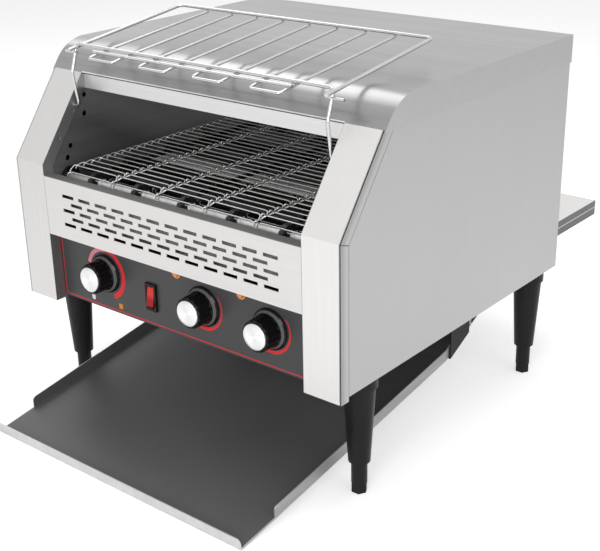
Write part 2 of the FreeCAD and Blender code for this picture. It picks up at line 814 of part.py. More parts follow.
def belt_place(index):
    """Turn about x, y and z of a strand, counted along the loop from the idler's top."""
    run = belt_run_pitches
    half_step = math.pi / wheel_pitches
    if index < run:
        return 0, idler_y + index * belt_pitch, shaft_z + loop_radius
    if index < run + wheel_pitches / 2:
        angle = 2 * math.pi * (index - run) / wheel_pitches
        y = drive_y + loop_radius * math.sin(angle)
        return -angle - half_step, y, shaft_z + loop_radius * math.cos(angle)
    if index < 2 * run + wheel_pitches / 2:
        step = index - run - wheel_pitches / 2
        return math.pi, drive_y - step * belt_pitch, shaft_z - loop_radius
    angle = 2 * math.pi * (index - 2 * run - wheel_pitches / 2) / wheel_pitches
    y = idler_y - loop_radius * math.sin(angle)
    return math.pi - angle - half_step, y, shaft_z - loop_radius * math.cos(angle)


def wire_belt():
    strand = belt_strand()
    strands = []
    for index in range(2 * belt_run_pitches + wheel_pitches):
        turn, y, z = belt_place(index)
        copy = strand.copy()
        copy.rotate(vec(0, 0, 0), vec(1, 0, 0), math.degrees(turn))
        copy.translate(vec(0, y, z))
        strands.append(copy)
    return strands


save("wire_belt", wire_belt())

# Belt rails: flat bars under the upper run, welded on two cross bars between the walls
rail_half_width = 1.5
rail_height = 5.0
cross_radius = 4.0
rail_margin = 22.0
rail_gap = 0.4


def belt_rails():
    rail_top = belt_top - 2 * belt_wire - rail_gap
    bar_z = rail_top - rail_height - cross_radius / 2
    pieces = []
    y0 = idler_y + rail_margin
    y1 = drive_y - rail_margin
    for y in (y0, y1):
        pieces.append(rod(vec(-wall_face, y, bar_z), vec(wall_face, y, bar_z), cross_radius))
    for x in [(before + after) / 2 for before, after in zip(joint_columns, joint_columns[1:])][::2]:
        x0 = x - rail_half_width
        x1 = x0 + 2 * rail_half_width
        pieces.append(block(x0, x1, y0 - cross_radius, y1 + cross_radius, rail_top - rail_height, rail_top))
    return fuse(pieces)


save("belt_rails", [belt_rails()])

# Shafts with belt wheels, and flanged bushes in the inner walls
wheel_half_width = 3.0
wheel_hub = 8.0
wheel_hub_half = 7.0
bush_flange = 12.5
bush_flange_depth = 3.0
bush_back = 4.0
shaft_end = 3.0
chain_inset = 27.0
chain_half_width = 2.0
chain_pitch = 6.35
motor_teeth = 12
drive_teeth = 18
chain_half_height = 2.4
tooth_clearance = 0.5
sprocket_hub = 9.0
motor_shaft_radius = 4.0
chain_x = body_half - chain_inset
motor_chain_radius = motor_teeth * chain_pitch / (2 * math.pi)
drive_chain_radius = drive_teeth * chain_pitch / (2 * math.pi)


def toothed_disc(y, z, radius, teeth, half_width, x):
    """Disc with a shallow round gap between neighbouring teeth."""
    disc = rod(vec(x - half_width, y, z), vec(x + half_width, y, z), radius)
    gap_radius = math.pi * radius / teeth / 3
    gaps = []
    for tooth in range(teeth):
        angle = 2 * math.pi * tooth / teeth
        gap_y = y + radius * math.sin(angle)
        gap_z = z + radius * math.cos(angle)
        start = vec(x - half_width - overrun, gap_y, gap_z)
        gaps.append(rod(start, vec(x + half_width + overrun, gap_y, gap_z), gap_radius))
    return disc.cut(Part.makeCompound(gaps))


def belt_shaft(y, end_x):
    """Round shaft through both bushes with a wheel in the middle of each belt space."""
    left = -(wall_outer + bush_back + shaft_end)
    pieces = [rod(vec(left, y, shaft_z), vec(end_x, y, shaft_z), shaft_radius)]
    wheel_radius = loop_radius - belt_wire - tooth_clearance
    for before, after in zip(joint_columns, joint_columns[1:]):
        x = (before + after) / 2
        pieces.append(toothed_disc(y, shaft_z, wheel_radius, wheel_pitches, wheel_half_width, x))
        hub_start = vec(x - wheel_hub_half, y, shaft_z)
        pieces.append(rod(hub_start, vec(x + wheel_hub_half, y, shaft_z), wheel_hub))
    return pieces


def drive_shaft():
    sprocket_radius = drive_chain_radius - chain_half_height - tooth_clearance
    sprocket = toothed_disc(drive_y, shaft_z, sprocket_radius, drive_teeth, chain_half_width, chain_x)
    hub_x = chain_x - chain_half_width - shaft_end
    hub = rod(vec(hub_x, drive_y, shaft_z), vec(chain_x + chain_half_width, drive_y, shaft_z), sprocket_hub)
    return fuse(belt_shaft(drive_y, chain_x + chain_half_width + shaft_end) + [sprocket, hub])


def shaft_bush(y):
    """Bush in the wall's hole with its flange on the mouth side."""
    flange = rod(vec(wall_face - bush_flange_depth, y, shaft_z), vec(wall_face, y, shaft_z), bush_flange)
    sleeve_end = vec(wall_outer + bush_back, y, shaft_z)
    sleeve = rod(vec(wall_face, y, shaft_z), sleeve_end, bush_outer - pin_clearance)
    bore_start = vec(wall_face - bush_flange_depth - overrun, y, shaft_z)
    bore = rod(bore_start, vec(wall_outer + bush_back + overrun, y, shaft_z), shaft_radius + pin_clearance)
    return fuse([flange, sleeve]).cut(bore)


save("drive_shaft", [drive_shaft()])
save("idler_shaft", [fuse(belt_shaft(idler_y, wall_outer + bush_back + shaft_end))])
bushes = [shaft_bush(y) for y in (idler_y, drive_y)]
save("shaft_bearings", bushes + [mirror(bush) for bush in bushes])

# Gear motor on the right inner wall, with its sprocket and the chain outside the wall
gearbox_depth = 46.0
gearbox_half_y = 30.0
gearbox_half_z = 26.0
motor_can = 24.0
motor_length = 78.0
boss_depth = 7.0
motor_shaft_in = 20.0


def gear_motor():
    x1 = wall_face
    x0 = x1 - gearbox_depth
    y0 = motor_y - gearbox_half_y
    case = block(x0, x1, y0, y0 + 2 * gearbox_half_y, motor_z - gearbox_half_z, motor_z + gearbox_half_z)
    can = rod(vec(x0 - motor_length, motor_y, motor_z), vec(x0, motor_y, motor_z), motor_can)
    boss = rod(vec(x1, motor_y, motor_z), vec(x1 + boss_depth, motor_y, motor_z), boss_radius)
    bore_end = vec(x1 + boss_depth + overrun, motor_y, motor_z)
    bore = rod(vec(x1 - motor_shaft_in, motor_y, motor_z), bore_end, motor_shaft_radius + pin_clearance)
    return fuse([case, can, boss]).cut(bore)


def motor_sprocket():
    radius = motor_chain_radius - chain_half_height - tooth_clearance
    wheel = toothed_disc(motor_y, motor_z, radius, motor_teeth, chain_half_width, chain_x)
    start = vec(wall_face - motor_shaft_in + fit_gap, motor_y, motor_z)
    shaft = rod(start, vec(chain_x + chain_half_width + shaft_end, motor_y, motor_z), motor_shaft_radius)
    return fuse([wheel, shaft])


def chain_outline(offset, x0, x1):
    """Belt-like loop round both sprockets, its pitch line moved outwards by offset."""
    span_y = drive_y - motor_y
    span_z = shaft_z - motor_z
    span = math.hypot(span_y, span_z)
    lean = math.atan2(span_z, span_y)
    small = motor_chain_radius + offset
    large = drive_chain_radius + offset
    spread = math.acos((small - large) / span)
    low = vec(x0, motor_y, motor_z)
    high = vec(x0, drive_y, shaft_z)

    def on_circle(centre, radius, angle):
        return centre + vec(0, radius * math.cos(angle), radius * math.sin(angle))

    upper = lean + spread
    lower = lean - spread
    far = on_circle(high, large, lean)
    near = on_circle(low, small, lean + math.pi)
    edges = [Part.LineSegment(on_circle(low, small, upper), on_circle(high, large, upper)).toShape()]
    edges.append(Part.Arc(on_circle(high, large, upper), far, on_circle(high, large, lower)).toShape())
    edges.append(Part.LineSegment(on_circle(high, large, lower), on_circle(low, small, lower)).toShape())
    edges.append(Part.Arc(on_circle(low, small, lower), near, on_circle(low, small, upper)).toShape())
    return Part.Face(Part.Wire(edges)).extrude(vec(x1 - x0, 0, 0))


def drive_chain():
    x0 = chain_x - chain_half_width
    x1 = chain_x + chain_half_width
    return chain_outline(chain_half_height, x0, x1).cut(chain_outline(-chain_half_height, x0, x1))


save("gear_motor", [gear_motor()])
save("motor_sprocket", [motor_sprocket()])
save("drive_chain", [drive_chain()])

# Exit chute: sloped sheet with side flanges, a steeper rear end and an upturned lip
chute_flange = 13.5
chute_flange_start = 51.0
lip_height = 13.0
corner_share = 0.4


def chute_profile(low, high):
    """Closed band that follows the chute's floor line between two heights over it."""
    line = [(chute_lip_y, chute_lip_z), (chute_bend_y, chute_bend_z), (chute_rear_y, chute_rear_z)]
    return [(y, z + low) for y, z in line] + [(y, z + high) for y, z in line[::-1]]


def chute_floor(y):
    """Height of the chute's underside at a depth before its bend."""
    return chute_lip_z + chute_rise_share * (y - chute_lip_y)


def rounded(plate, radius, corners):
    """Fillet on the plate's edges whose middles are the given corners."""
    edges = []
    for corner in corners:
        edges.append(min(plate.Edges, key=lambda edge: edge.CenterOfMass.distanceToPoint(corner)))
    return plate.makeFillet(radius, edges)


def chute_lip():
    front = [(chute_lip_y, chute_lip_z), (chute_lip_y - lip_lean, chute_lip_z + lip_height)]
    lip = prism(front + [(y + sheet, z) for y, z in front[::-1]], -chute_half, chute_half)
    top_y = chute_lip_y - lip_lean + sheet / 2
    corners = [vec(x, top_y, chute_lip_z + lip_height) for x in (-chute_half, chute_half)]
    return rounded(lip, lip_height * corner_share, corners)


def chute_side(x0, x1):
    start = chute_lip_y + chute_flange_start
    front_cut = block(-body_half, body_half, 2 * chute_lip_y, start, 0, body_top)
    side = prism(chute_profile(0, chute_flange), x0, x1).cut(front_cut)
    corner = vec((x0 + x1) / 2, start, chute_floor(start) + chute_flange)
    return rounded(side, chute_flange * corner_share, [corner])


def exit_chute():
    floor = prism(chute_profile(0, sheet), -chute_half, chute_half)
    sides = [chute_side(-chute_half, sheet - chute_half), chute_side(chute_half - sheet, chute_half)]
    return fuse([floor, chute_lip()] + sides)


save("exit_chute", [exit_chute()])

# Chute hangers: angle plates under the base channels with a ledge below the chute's rear end
hanger_length = 40.0
hanger_offset = 1.0
hanger_sheet = 1.5
hanger_ledge = 9.0
hanger_foot = 14.0
hanger_front = chute_rear_y - chute_end_cover


def chute_line(y):
    """Height of the chute's underside at a depth behind its bend."""
    return chute_bend_z + (y - chute_bend_y) * (chute_rear_z - chute_bend_z) / (chute_rear_y - chute_bend_y)


def chute_hanger():
    x0 = chute_half + hanger_offset
    x1 = x0 + hanger_sheet
    y1 = hanger_front + hanger_length
    low = [(hanger_front, chute_line(hanger_front) - fit_gap), (y1, chute_line(y1) - fit_gap)]
    under = [(y, z - hanger_sheet) for y, z in low]
    plate = prism(under + [(y1, side_bottom), (hanger_front, side_bottom)], x0, x1)
    ledge = prism(low + under[::-1], chute_half - hanger_ledge, x1)
    foot = block(x0, x0 + hanger_foot, hanger_front, y1, side_bottom - hanger_sheet, side_bottom)
    return fuse([plate, ledge, foot])


save("chute_hangers", [chute_hanger(), mirror(chute_hanger())])

# Rear deflector: bent sheet that takes slices from the belt's end and turns them forward
deflector_gap = 2.0
deflector_radius = 118.0
deflector_top = 262.0
deflector_side = 0.3
deflector_back = 2.0


def rear_deflector():
    lean = math.atan2(chute_rear_z - chute_bend_z, chute_rear_y - chute_bend_y)
    wall_y = body_depth - sheet - deflector_back
    x0 = -wall_face + deflector_side
    layers = []
    for inset in (0, sheet):
        radius = deflector_radius - inset
        arc_y = wall_y - deflector_radius * (1 - math.sin(lean))
        start_y = chute_rear_y + deflector_gap
        start_z = chute_rear_z + deflector_gap * math.tan(lean)
        arc_z = start_z + (arc_y - start_y) * math.tan(lean)
        middle_y = wall_y - deflector_radius
        middle_z = arc_z + deflector_radius * math.cos(lean)
        points = []
        for angle in (lean, (lean + math.pi / 2) / 2, math.pi / 2):
            points.append(vec(x0, middle_y + radius * math.sin(angle), middle_z - radius * math.cos(angle)))
        first = vec(x0, start_y - inset * math.sin(lean), start_z + inset * math.cos(lean))
        layers.append([first] + points + [vec(x0, wall_y - inset, deflector_top)])
    outer, inner = layers
    edges = [Part.LineSegment(outer[0], outer[1]).toShape(), Part.Arc(outer[1], outer[2], outer[3]).toShape()]
    edges.append(Part.LineSegment(outer[3], outer[4]).toShape())
    edges.append(Part.LineSegment(outer[4], inner[4]).toShape())
    edges.append(Part.LineSegment(inner[4], inner[3]).toShape())
    edges.append(Part.Arc(inner[3], inner[2], inner[1]).toShape())
    edges.append(Part.LineSegment(inner[1], inner[0]).toShape())
    edges.append(Part.LineSegment(inner[0], outer[0]).toShape())
    return Part.Face(Part.Wire(edges)).extrude(vec(-2 * x0, 0, 0))


save("rear_deflector", [rear_deflector()])

# Bread rack: one wire makes the legs and front bar, one the sides and rear bar, four pairs the ribs
rack_front_y = 60.0
rack_front_rise = 5.0
rack_depth = 166.0
rack_rear_rise = 19.0
rack_side_gap = 6.0
rack_pin_reach = 5.0
rack_knee_y = 50.0
rack_knee_z = 393.0
rack_bend = 6.0
weld_sink = 0.3
rib_wire = 1.5
rib_count = 8
rib_edge = 46.0
rib_loop_reach = 12.5
rib_loop_drop = 2.4
rib_bend = 4.0
second_bar_step = 12.0
second_bar_over = 5.0
stop_drop = 9.0
stop_reach = 15.0
stop_back = 4.0

rack_half = mouth_half - rack_side_gap
rack_front_z = body_top + rack_front_rise
rack_rear_y = rack_front_y + rack_depth
rack_rear_z = rack_front_z + rack_rear_rise
rack_lean = rack_rear_rise / rack_depth
rib_spacing = 2 * (rack_half - rib_edge) / (rib_count - 1)
second_bar_y = rack_front_y - second_bar_step


def rack_frame():
    points = []
    for side in (-1, 1):
        leg = [vec(side * (wall_outer + rack_pin_reach), rack_pivot_y, rack_pivot_z)]
        leg.append(vec(side * rack_half, rack_pivot_y, rack_pivot_z))
        leg.append(vec(side * rack_half, rack_knee_y, rack_knee_z))
        leg.append(vec(side * rack_half, rack_front_y, rack_front_z))
        points.append(leg)
    return bent_wire(points[0] + points[1][::-1], rack_wire, rack_bend)


def rack_sides():
    """Side and rear wire, its front ends welded under the front bar."""
    low_z = rack_front_z - 2 * rack_wire + weld_sink - second_bar_step * rack_lean
    front = [vec(side * rack_half, second_bar_y, low_z) for side in (-1, 1)]
    rear = [vec(side * rack_half, rack_rear_y, rack_rear_z) for side in (-1, 1)]
    return bent_wire([front[0], rear[0], rear[1], front[1]], rack_wire, rack_bend)


def rack_ribs():
    """Hairpins under both front bars and the rear bar, with the second bar on top of them."""
    under = rack_wire + rib_wire - weld_sink
    step_z = rack_front_z - under - second_bar_step * rack_lean
    ribs = []
    for pair in range(rib_count // 2):
        x0 = -rack_half + rib_edge + 2 * pair * rib_spacing
        path = []
        for x in (x0, x0 + rib_spacing):
            side = [vec(x, rack_rear_y, rack_rear_z - under), vec(x, second_bar_y, step_z)]
            side.append(vec(x, second_bar_y - rib_loop_reach, step_z - rib_loop_drop))
            path.append(side)
        ribs.append(bent_wire(path[0] + path[1][::-1], rib_wire, rib_bend))
    bar_half = rack_half - rib_edge + second_bar_over
    bar_z = step_z + 2 * rib_wire - weld_sink
    ribs.append(rod(vec(-bar_half, second_bar_y, bar_z), vec(bar_half, second_bar_y, bar_z), rib_wire))
    return ribs


def rack_stops():
    """Short cross wires welded in front of the legs, reaching outwards."""
    y = rack_front_y - rack_wire - rib_wire - weld_sink
    z = rack_front_z - stop_drop
    stops = []
    for side in (-1, 1):
        start = vec(side * (rack_half - stop_back), y, z)
        stops.append(rod(start, vec(side * (rack_half + stop_reach), y, z), rib_wire))
    return stops


save("bread_rack", [fuse([rack_frame(), rack_sides()] + rack_ribs() + rack_stops())])

# Legs: round collar, tapered sleeve and a screwed foot with a hexagon end
leg_inset = 19.0
leg_front_y = 55.0
leg_rear_inset = 34.0
collar_radius = 19.0
collar_height = 11.0
leg_top_radius = 17.0
leg_low_radius = 11.8
leg_low_z = 37.0
foot_radius = 8.6
foot_hex = 8.9
foot_hex_height = 10.5
foot_inside = 34.0
leg_x = body_half - leg_inset
leg_rear_y = body_depth - leg_rear_inset


def leg(x, y):
    top = side_bottom - collar_height
    collar = rod(vec(x, y, top), vec(x, y, side_bottom), collar_radius)
    sleeve = cone(vec(x, y, leg_low_z), vec(x, y, top), leg_low_radius, leg_top_radius)
    bore_top = leg_low_z + foot_inside + fit_gap
    bore = rod(vec(x, y, leg_low_z - overrun), vec(x, y, bore_top), foot_radius + fit_gap)
    return fuse([collar, sleeve]).cut(bore)


def foot(x, y):
    hexagon_end = hexagon(vec(x, y, 0), foot_hex, foot_hex_height, vec(0, 0, 1))
    stem = rod(vec(x, y, foot_hex_height), vec(x, y, leg_low_z + foot_inside), foot_radius)
    return fuse([hexagon_end, stem])


for depth_name, y in (("front", leg_front_y), ("rear", leg_rear_y)):
    for side_name, side in (("left", -1), ("right", 1)):
        save(depth_name + "_" + side_name + "_leg", [leg(side * leg_x, y)])
        save(depth_name + "_" + side_name + "_foot", [foot(side * leg_x, y)])
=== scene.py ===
import math
import bpy
import numpy as np
from mathutils import Matrix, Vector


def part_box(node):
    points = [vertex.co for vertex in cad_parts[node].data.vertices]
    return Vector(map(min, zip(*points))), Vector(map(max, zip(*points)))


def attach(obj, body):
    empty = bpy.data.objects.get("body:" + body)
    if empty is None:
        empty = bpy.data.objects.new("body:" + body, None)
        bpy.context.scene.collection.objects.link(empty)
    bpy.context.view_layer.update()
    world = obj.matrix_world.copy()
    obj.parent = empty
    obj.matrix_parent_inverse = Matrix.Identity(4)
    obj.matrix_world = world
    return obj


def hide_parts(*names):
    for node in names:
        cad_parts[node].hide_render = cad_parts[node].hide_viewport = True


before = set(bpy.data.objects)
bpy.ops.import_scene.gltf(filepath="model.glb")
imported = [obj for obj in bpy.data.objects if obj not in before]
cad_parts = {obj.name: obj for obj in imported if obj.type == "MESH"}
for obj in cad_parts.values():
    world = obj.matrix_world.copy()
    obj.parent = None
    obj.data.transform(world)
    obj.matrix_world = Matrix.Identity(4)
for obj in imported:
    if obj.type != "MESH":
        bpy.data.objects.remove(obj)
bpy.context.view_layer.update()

bpy.context.scene.view_settings.view_transform = "Standard"

# Table and studio: a pale matt table top that keeps the toaster's shadow, in a white surround,
# with soft lamps in front, overhead, above the hood's left shoulder and on the right.
table_half = 6.0
table_tone = (0.9, 0.9, 0.9, 1.0)
table_rough = 0.9
table_lift = 0.5
plain_white = (1.0, 1.0, 1.0, 1.0)
lighting_level = 0.38
seen_level = 1.0
body_middle = (0.0, 0.0, 0.2)
shoulder_middle = (0.0, -0.1, 0.38)


def mesh_piece(name, points, faces):
    """Piece from an array of points, whose last axis is xyz, and lists of point numbers, one for a face."""
    mesh = bpy.data.meshes.new(name)
    mesh.from_pydata(points.reshape(-1, 3).tolist(), [], faces)
    mesh.update()
    piece = bpy.data.objects.new(name, mesh)
    bpy.context.scene.collection.objects.link(piece)
    return piece


def grid_piece(name, points, closed_u=False, closed_v=False):
    """Surface through an array of rows, columns and xyz: each cell a quad, and ends meet where closed."""
    rows, columns = points.shape[:2]
    u = np.arange(rows if closed_u else rows - 1)[:, None]
    v = np.arange(columns if closed_v else columns - 1)[None, :]
    near = u * columns + v
    far = (u + 1) % rows * columns + v
    near_next = u * columns + (v + 1) % columns
    far_next = (u + 1) % rows * columns + (v + 1) % columns
    quads = np.stack([near, far, far_next, near_next], axis=-1).reshape(-1, 4)
    return mesh_piece(name, points, quads.tolist())


def new_material(name):
    """Empty material with its nodes, links and shader, ready for its own nodes."""
    material = bpy.data.materials.new(name)
    material.use_nodes = True
    nodes = material.node_tree.nodes
    return material, nodes, material.node_tree.links, nodes["Principled BSDF"]


def reckon(nodes, links, operation, *values, kind="ShaderNodeMath", result="Value", clamp=False):
    """Result of one arithmetic node, each of its values a socket or plain numbers."""
    node = nodes.new(kind)
    node.operation = operation
    if clamp:
        node.use_clamp = True
    for socket, value in zip(node.inputs, values):
        if isinstance(value, bpy.types.NodeSocket):
            links.new(value, socket)
        else:
            socket.default_value = value
    return node.outputs[result]


def seen_rays(nodes, links):
    """One for what the eye sees, directly, in gloss or through clear parts, and nought for lighting."""
    rays = nodes.new("ShaderNodeLightPath").outputs
    seen = reckon(nodes, links, "MAXIMUM", rays["Is Camera Ray"], rays["Is Glossy Ray"])
    return reckon(nodes, links, "MAXIMUM", seen, rays["Is Transmission Ray"])


sides = np.array([-table_half, table_half])
table_points = np.stack(np.meshgrid(sides, sides, [0.0], indexing="ij"), axis=-1).reshape(2, 2, 3)
table = grid_piece("table_top", table_points)
table_paint, nodes, links, shader = new_material("table_white")
shader.inputs["Base Color"].default_value = table_tone
shader.inputs["Roughness"].default_value = table_rough
shader.inputs["Specular IOR Level"].default_value = 0.0
glow = nodes.new("ShaderNodeEmission")
glow.inputs["Color"].default_value = plain_white
both = nodes.new("ShaderNodeAddShader")
links.new(reckon(nodes, links, "MULTIPLY", seen_rays(nodes, links), table_lift), glow.inputs["Strength"])
links.new(shader.outputs["BSDF"], both.inputs[0])
links.new(glow.outputs["Emission"], both.inputs[1])
links.new(both.outputs["Shader"], nodes["Material Output"].inputs["Surface"])
table.data.materials.append(table_paint)

world = bpy.data.worlds.new("white_surround")
bpy.context.scene.world = world
world.use_nodes = True
nodes = world.node_tree.nodes
links = world.node_tree.links
surround = nodes["Background"]
surround.inputs["Color"].default_value = plain_white
level = nodes.new("ShaderNodeMapRange")
level.inputs["To Min"].default_value = lighting_level
level.inputs["To Max"].default_value = seen_level
links.new(seen_rays(nodes, links), level.inputs["Value"])
links.new(level.outputs["Result"], surround.inputs["Strength"])


def turned_to(place, back, roll=0.0):
    """Place and turn of a lamp or lens, its back along a direction and its right level but for a roll."""
    back = back / np.linalg.norm(back)
    level_right = np.cross([0.0, 0.0, 1.0], back)
    level_right = level_right / np.linalg.norm(level_right)
    level_up = np.cross(back, level_right)
    right = math.cos(roll) * level_right + math.sin(roll) * level_up
    up = math.cos(roll) * level_up - math.sin(roll) * level_right
    turn = np.eye(4)
    turn[:3, :] = np.column_stack([right, up, back, place])
    return Matrix(turn.tolist())


def soft_lamp(name, place, aim, width, watts):
    """Square lamp of a given width that faces the point it is aimed at."""
    light = bpy.data.lights.new(name, "AREA")
    light.shape = "SQUARE"
    light.size = width
    light.energy = watts
    lamp = bpy.data.objects.new(name, light)
    lamp.matrix_world = turned_to(place, np.array(place) - np.array(aim))
    bpy.context.scene.collection.objects.link(lamp)


soft_lamp("front_softbox", place=(0.95, -2.05, 1.0), aim=body_middle, width=0.9, watts=17.5)
soft_lamp("overhead_softbox", place=(0.1, 0.3, 2.3), aim=body_middle, width=1.6, watts=14.0)
soft_lamp("shoulder_softbox", place=(-1.25, 0.55, 1.85), aim=shoulder_middle, width=1.0, watts=7.5)
soft_lamp("right_softbox", place=(2.3, -0.2, 1.2), aim=body_middle, width=1.2, watts=6.0)

# Viewpoint: the photograph was taken from the front right and above the hood,
# with a lens about twice as long as its sensor is wide, rolled by about a degree.
view_azimuth = math.radians(39.583)
view_elevation = math.radians(22.658)
view_roll = math.radians(-1.094)
view_place = (0.83484, -1.00529, 0.681)
sensor_width = 36.0
photo_width = 600
focal_pixels = 1163.85

view_back = np.array([
    math.sin(view_azimuth) * math.cos(view_elevation),
    -math.cos(view_azimuth) * math.cos(view_elevation),
    math.sin(view_elevation),
])
lens = bpy.data.cameras.new("viewpoint")
lens.sensor_fit = "HORIZONTAL"
lens.sensor_width = sensor_width
lens.lens = focal_pixels / photo_width * sensor_width
viewpoint = bpy.data.objects.new("viewpoint", lens)
viewpoint.matrix_world = turned_to(view_place, view_back, view_roll)
bpy.context.scene.collection.objects.link(viewpoint)
bpy.context.scene.camera = viewpoint

# Legs and feet: tapered cast legs in black stoving enamel, each screwed up into its base channel,
# with a steel foot that screws out of its end to level the toaster.
leg_black = (0.01, 0.01, 0.0105, 1.0)
leg_worn = (0.022, 0.022, 0.023, 1.0)
peel_strength = 0.35
coat_rough = 0.08


def new_group(name, inputs, outputs):
    """Shader group with named inputs, as (name, kind, value), and named outputs that are numbers."""
    tree = bpy.data.node_groups.new(name, "ShaderNodeTree")
    for socket_name, kind, value in inputs:
        socket = tree.interface.new_socket(socket_name, in_out="INPUT", socket_type=kind)
        socket.default_value = value
    for socket_name in outputs:
        tree.interface.new_socket(socket_name, in_out="OUTPUT", socket_type="NodeSocketFloat")
    nodes = tree.nodes
    return tree, nodes, tree.links, nodes.new("NodeGroupInput"), nodes.new("NodeGroupOutput")


def build_cast_skin():
    """Orange peel of sprayed enamel, as a fine noise, and a soft cloud of handling marks, a broad one."""
    sockets = [("Peel Size", "NodeSocketFloat", 420.0), ("Cloud Size", "NodeSocketFloat", 14.0)]
    tree, nodes, links, given, result = new_group("cast_skin", sockets, ["Peel", "Cloud"])
    place = nodes.new("ShaderNodeTexCoord")
    for source, target in (("Peel Size", "Peel"), ("Cloud Size", "Cloud")):
        noise = nodes.new("ShaderNodeTexNoise")
        noise.inputs["Detail"].default_value = 3.0
        links.new(place.outputs["Object"], noise.inputs["Vector"])
        links.new(given.outputs[source], noise.inputs["Scale"])
        links.new(noise.outputs["Fac"], result.inputs[target])
    return tree


cast_skin = build_cast_skin()


def place_group(nodes, tree, **values):
    """The group as one node of a material, its inputs set by name."""
    node = nodes.new("ShaderNodeGroup")
    node.node_tree = tree
    for socket_name, value in values.items():
        node.inputs[socket_name.replace("_", " ")].default_value = value
    return node


def blend_colour(nodes, links, factor, low, high):
    """Colour between two, by a factor socket."""
    mix = nodes.new("ShaderNodeMix")
    mix.data_type = "RGBA"
    mix.inputs["A"].default_value = low
    mix.inputs["B"].default_value = high
    links.new(factor, mix.inputs["Factor"])
    return mix.outputs["Result"]


def remap(nodes, links, value, low, high, start=0.3, end=0.7):
    """Value spread from the range start to end onto low to high."""
    spread = nodes.new("ShaderNodeMapRange")
    spread.inputs["From Min"].default_value = start
    spread.inputs["From Max"].default_value = end
    spread.inputs["To Min"].default_value = low
    spread.inputs["To Max"].default_value = high
    links.new(value, spread.inputs["Value"])
    return spread.outputs["Result"]


def bump(nodes, links, shader, height, strength, distance):
    """Fine relief on a shader from a height socket, distance in metres."""
    relief = nodes.new("ShaderNodeBump")
    relief.inputs["Strength"].default_value = strength
    relief.inputs["Distance"].default_value = distance
    links.new(height, relief.inputs["Height"])
    links.new(relief.outputs["Normal"], shader.inputs["Normal"])


def painted(name, low, high, rough, peel_size, peel_depth, coat=0.0, metal=0.0, shine=0.5):
    """Sprayed or moulded skin: colour and gloss drift with handling, over a fine peel."""
    material, nodes, links, shader = new_material(name)
    skin = place_group(nodes, cast_skin, Peel_Size=peel_size)
    links.new(blend_colour(nodes, links, skin.outputs["Cloud"], low, high), shader.inputs["Base Color"])
    links.new(remap(nodes, links, skin.outputs["Cloud"], *rough), shader.inputs["Roughness"])
    shader.inputs["Specular IOR Level"].default_value = shine
    shader.inputs["Coat Weight"].default_value = coat
    shader.inputs["Coat Roughness"].default_value = coat_rough
    shader.inputs["Metallic"].default_value = metal
    bump(nodes, links, shader, skin.outputs["Peel"], peel_strength, peel_depth)
    return material


def dress(material, *names):
    """Give a finish to CAD nodes by name."""
    for name in names:
        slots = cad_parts[name].data.materials
        slots.clear()
        slots.append(material)


legs = ("front_left", "front_right", "rear_left", "rear_right")
stoved = dict(rough=(0.3, 0.42), shine=0.14)
leg_enamel = painted("leg_enamel", leg_black, leg_worn, peel_size=420.0, peel_depth=0.00008, **stoved)
foot_enamel = painted("foot_enamel", leg_black, leg_worn, peel_size=700.0, peel_depth=0.00005, **stoved)
dress(leg_enamel, *[leg + "_leg" for leg in legs])
dress(foot_enamel, *[leg + "_foot" for leg in legs])

# Base channels, inner walls, rear panel, compartment floor and shield: zinc-coated sheet, folded
# and spot welded, a duller grey than the outside. The inner walls are bright above and carry a painted
# shade towards the bottom and the front, and the shield is coloured near black, a painted shade.
zinc_dark = (0.3, 0.3, 0.305, 1.0)
zinc_light = (0.42, 0.42, 0.425, 1.0)
line_along = 14.0
line_across = 900.0
band_along = 2.0
band_across = 90.0
grain_strength = 0.3
sideways = (1.0, 0.0, 0.0)
rearward = (0.0, 1.0, 0.0)
upward = (0.0, 0.0, 1.0)
beyond = 1.0
crisp = 0.0002


def grain_along(axis):
    """Settings of grain along an axis, 0 to 2 for x to z: noise slow along it and fast across it."""
    along = np.eye(3)[axis]
    line_scale = line_across + (line_along - line_across) * along
    band_scale = band_across + (band_along - band_across) * along
    return dict(Line_Scale=tuple(line_scale), Band_Scale=tuple(band_scale))


along_x = grain_along(0)
along_y = grain_along(1)
along_z = grain_along(2)


def reckon_vector(nodes, links, operation, *values, result="Vector"):
    """Result of one vector arithmetic node, each of its values a socket or three numbers."""
    return reckon(nodes, links, operation, *values, kind="ShaderNodeVectorMath", result=result)


def build_brushed_grain():
    """Lines of a belt-ground sheet: noise stretched along an axis at two widths, over a broad cloud."""
    scales = (("Line Scale", "Lines"), ("Band Scale", "Bands"))
    sockets = [(source, "NodeSocketVector", along_x[source.replace(" ", "_")]) for source, target in scales]
    tree, nodes, links, given, result = new_group("brushed_grain", sockets, ["Lines", "Bands", "Cloud"])
    place = nodes.new("ShaderNodeTexCoord").outputs["Object"]
    for source, target in scales:
        noise = nodes.new("ShaderNodeTexNoise")
        noise.inputs["Scale"].default_value = 1.0
        noise.inputs["Detail"].default_value = 4.0
        stretched = reckon_vector(nodes, links, "MULTIPLY", place, given.outputs[source])
        links.new(stretched, noise.inputs["Vector"])
        links.new(noise.outputs["Fac"], result.inputs[target])
    cloud = nodes.new("ShaderNodeTexNoise")
    cloud.inputs["Scale"].default_value = 5.0
    cloud.inputs["Detail"].default_value = 2.0
    links.new(place, cloud.inputs["Vector"])
    links.new(cloud.outputs["Fac"], result.inputs["Cloud"])
    return tree


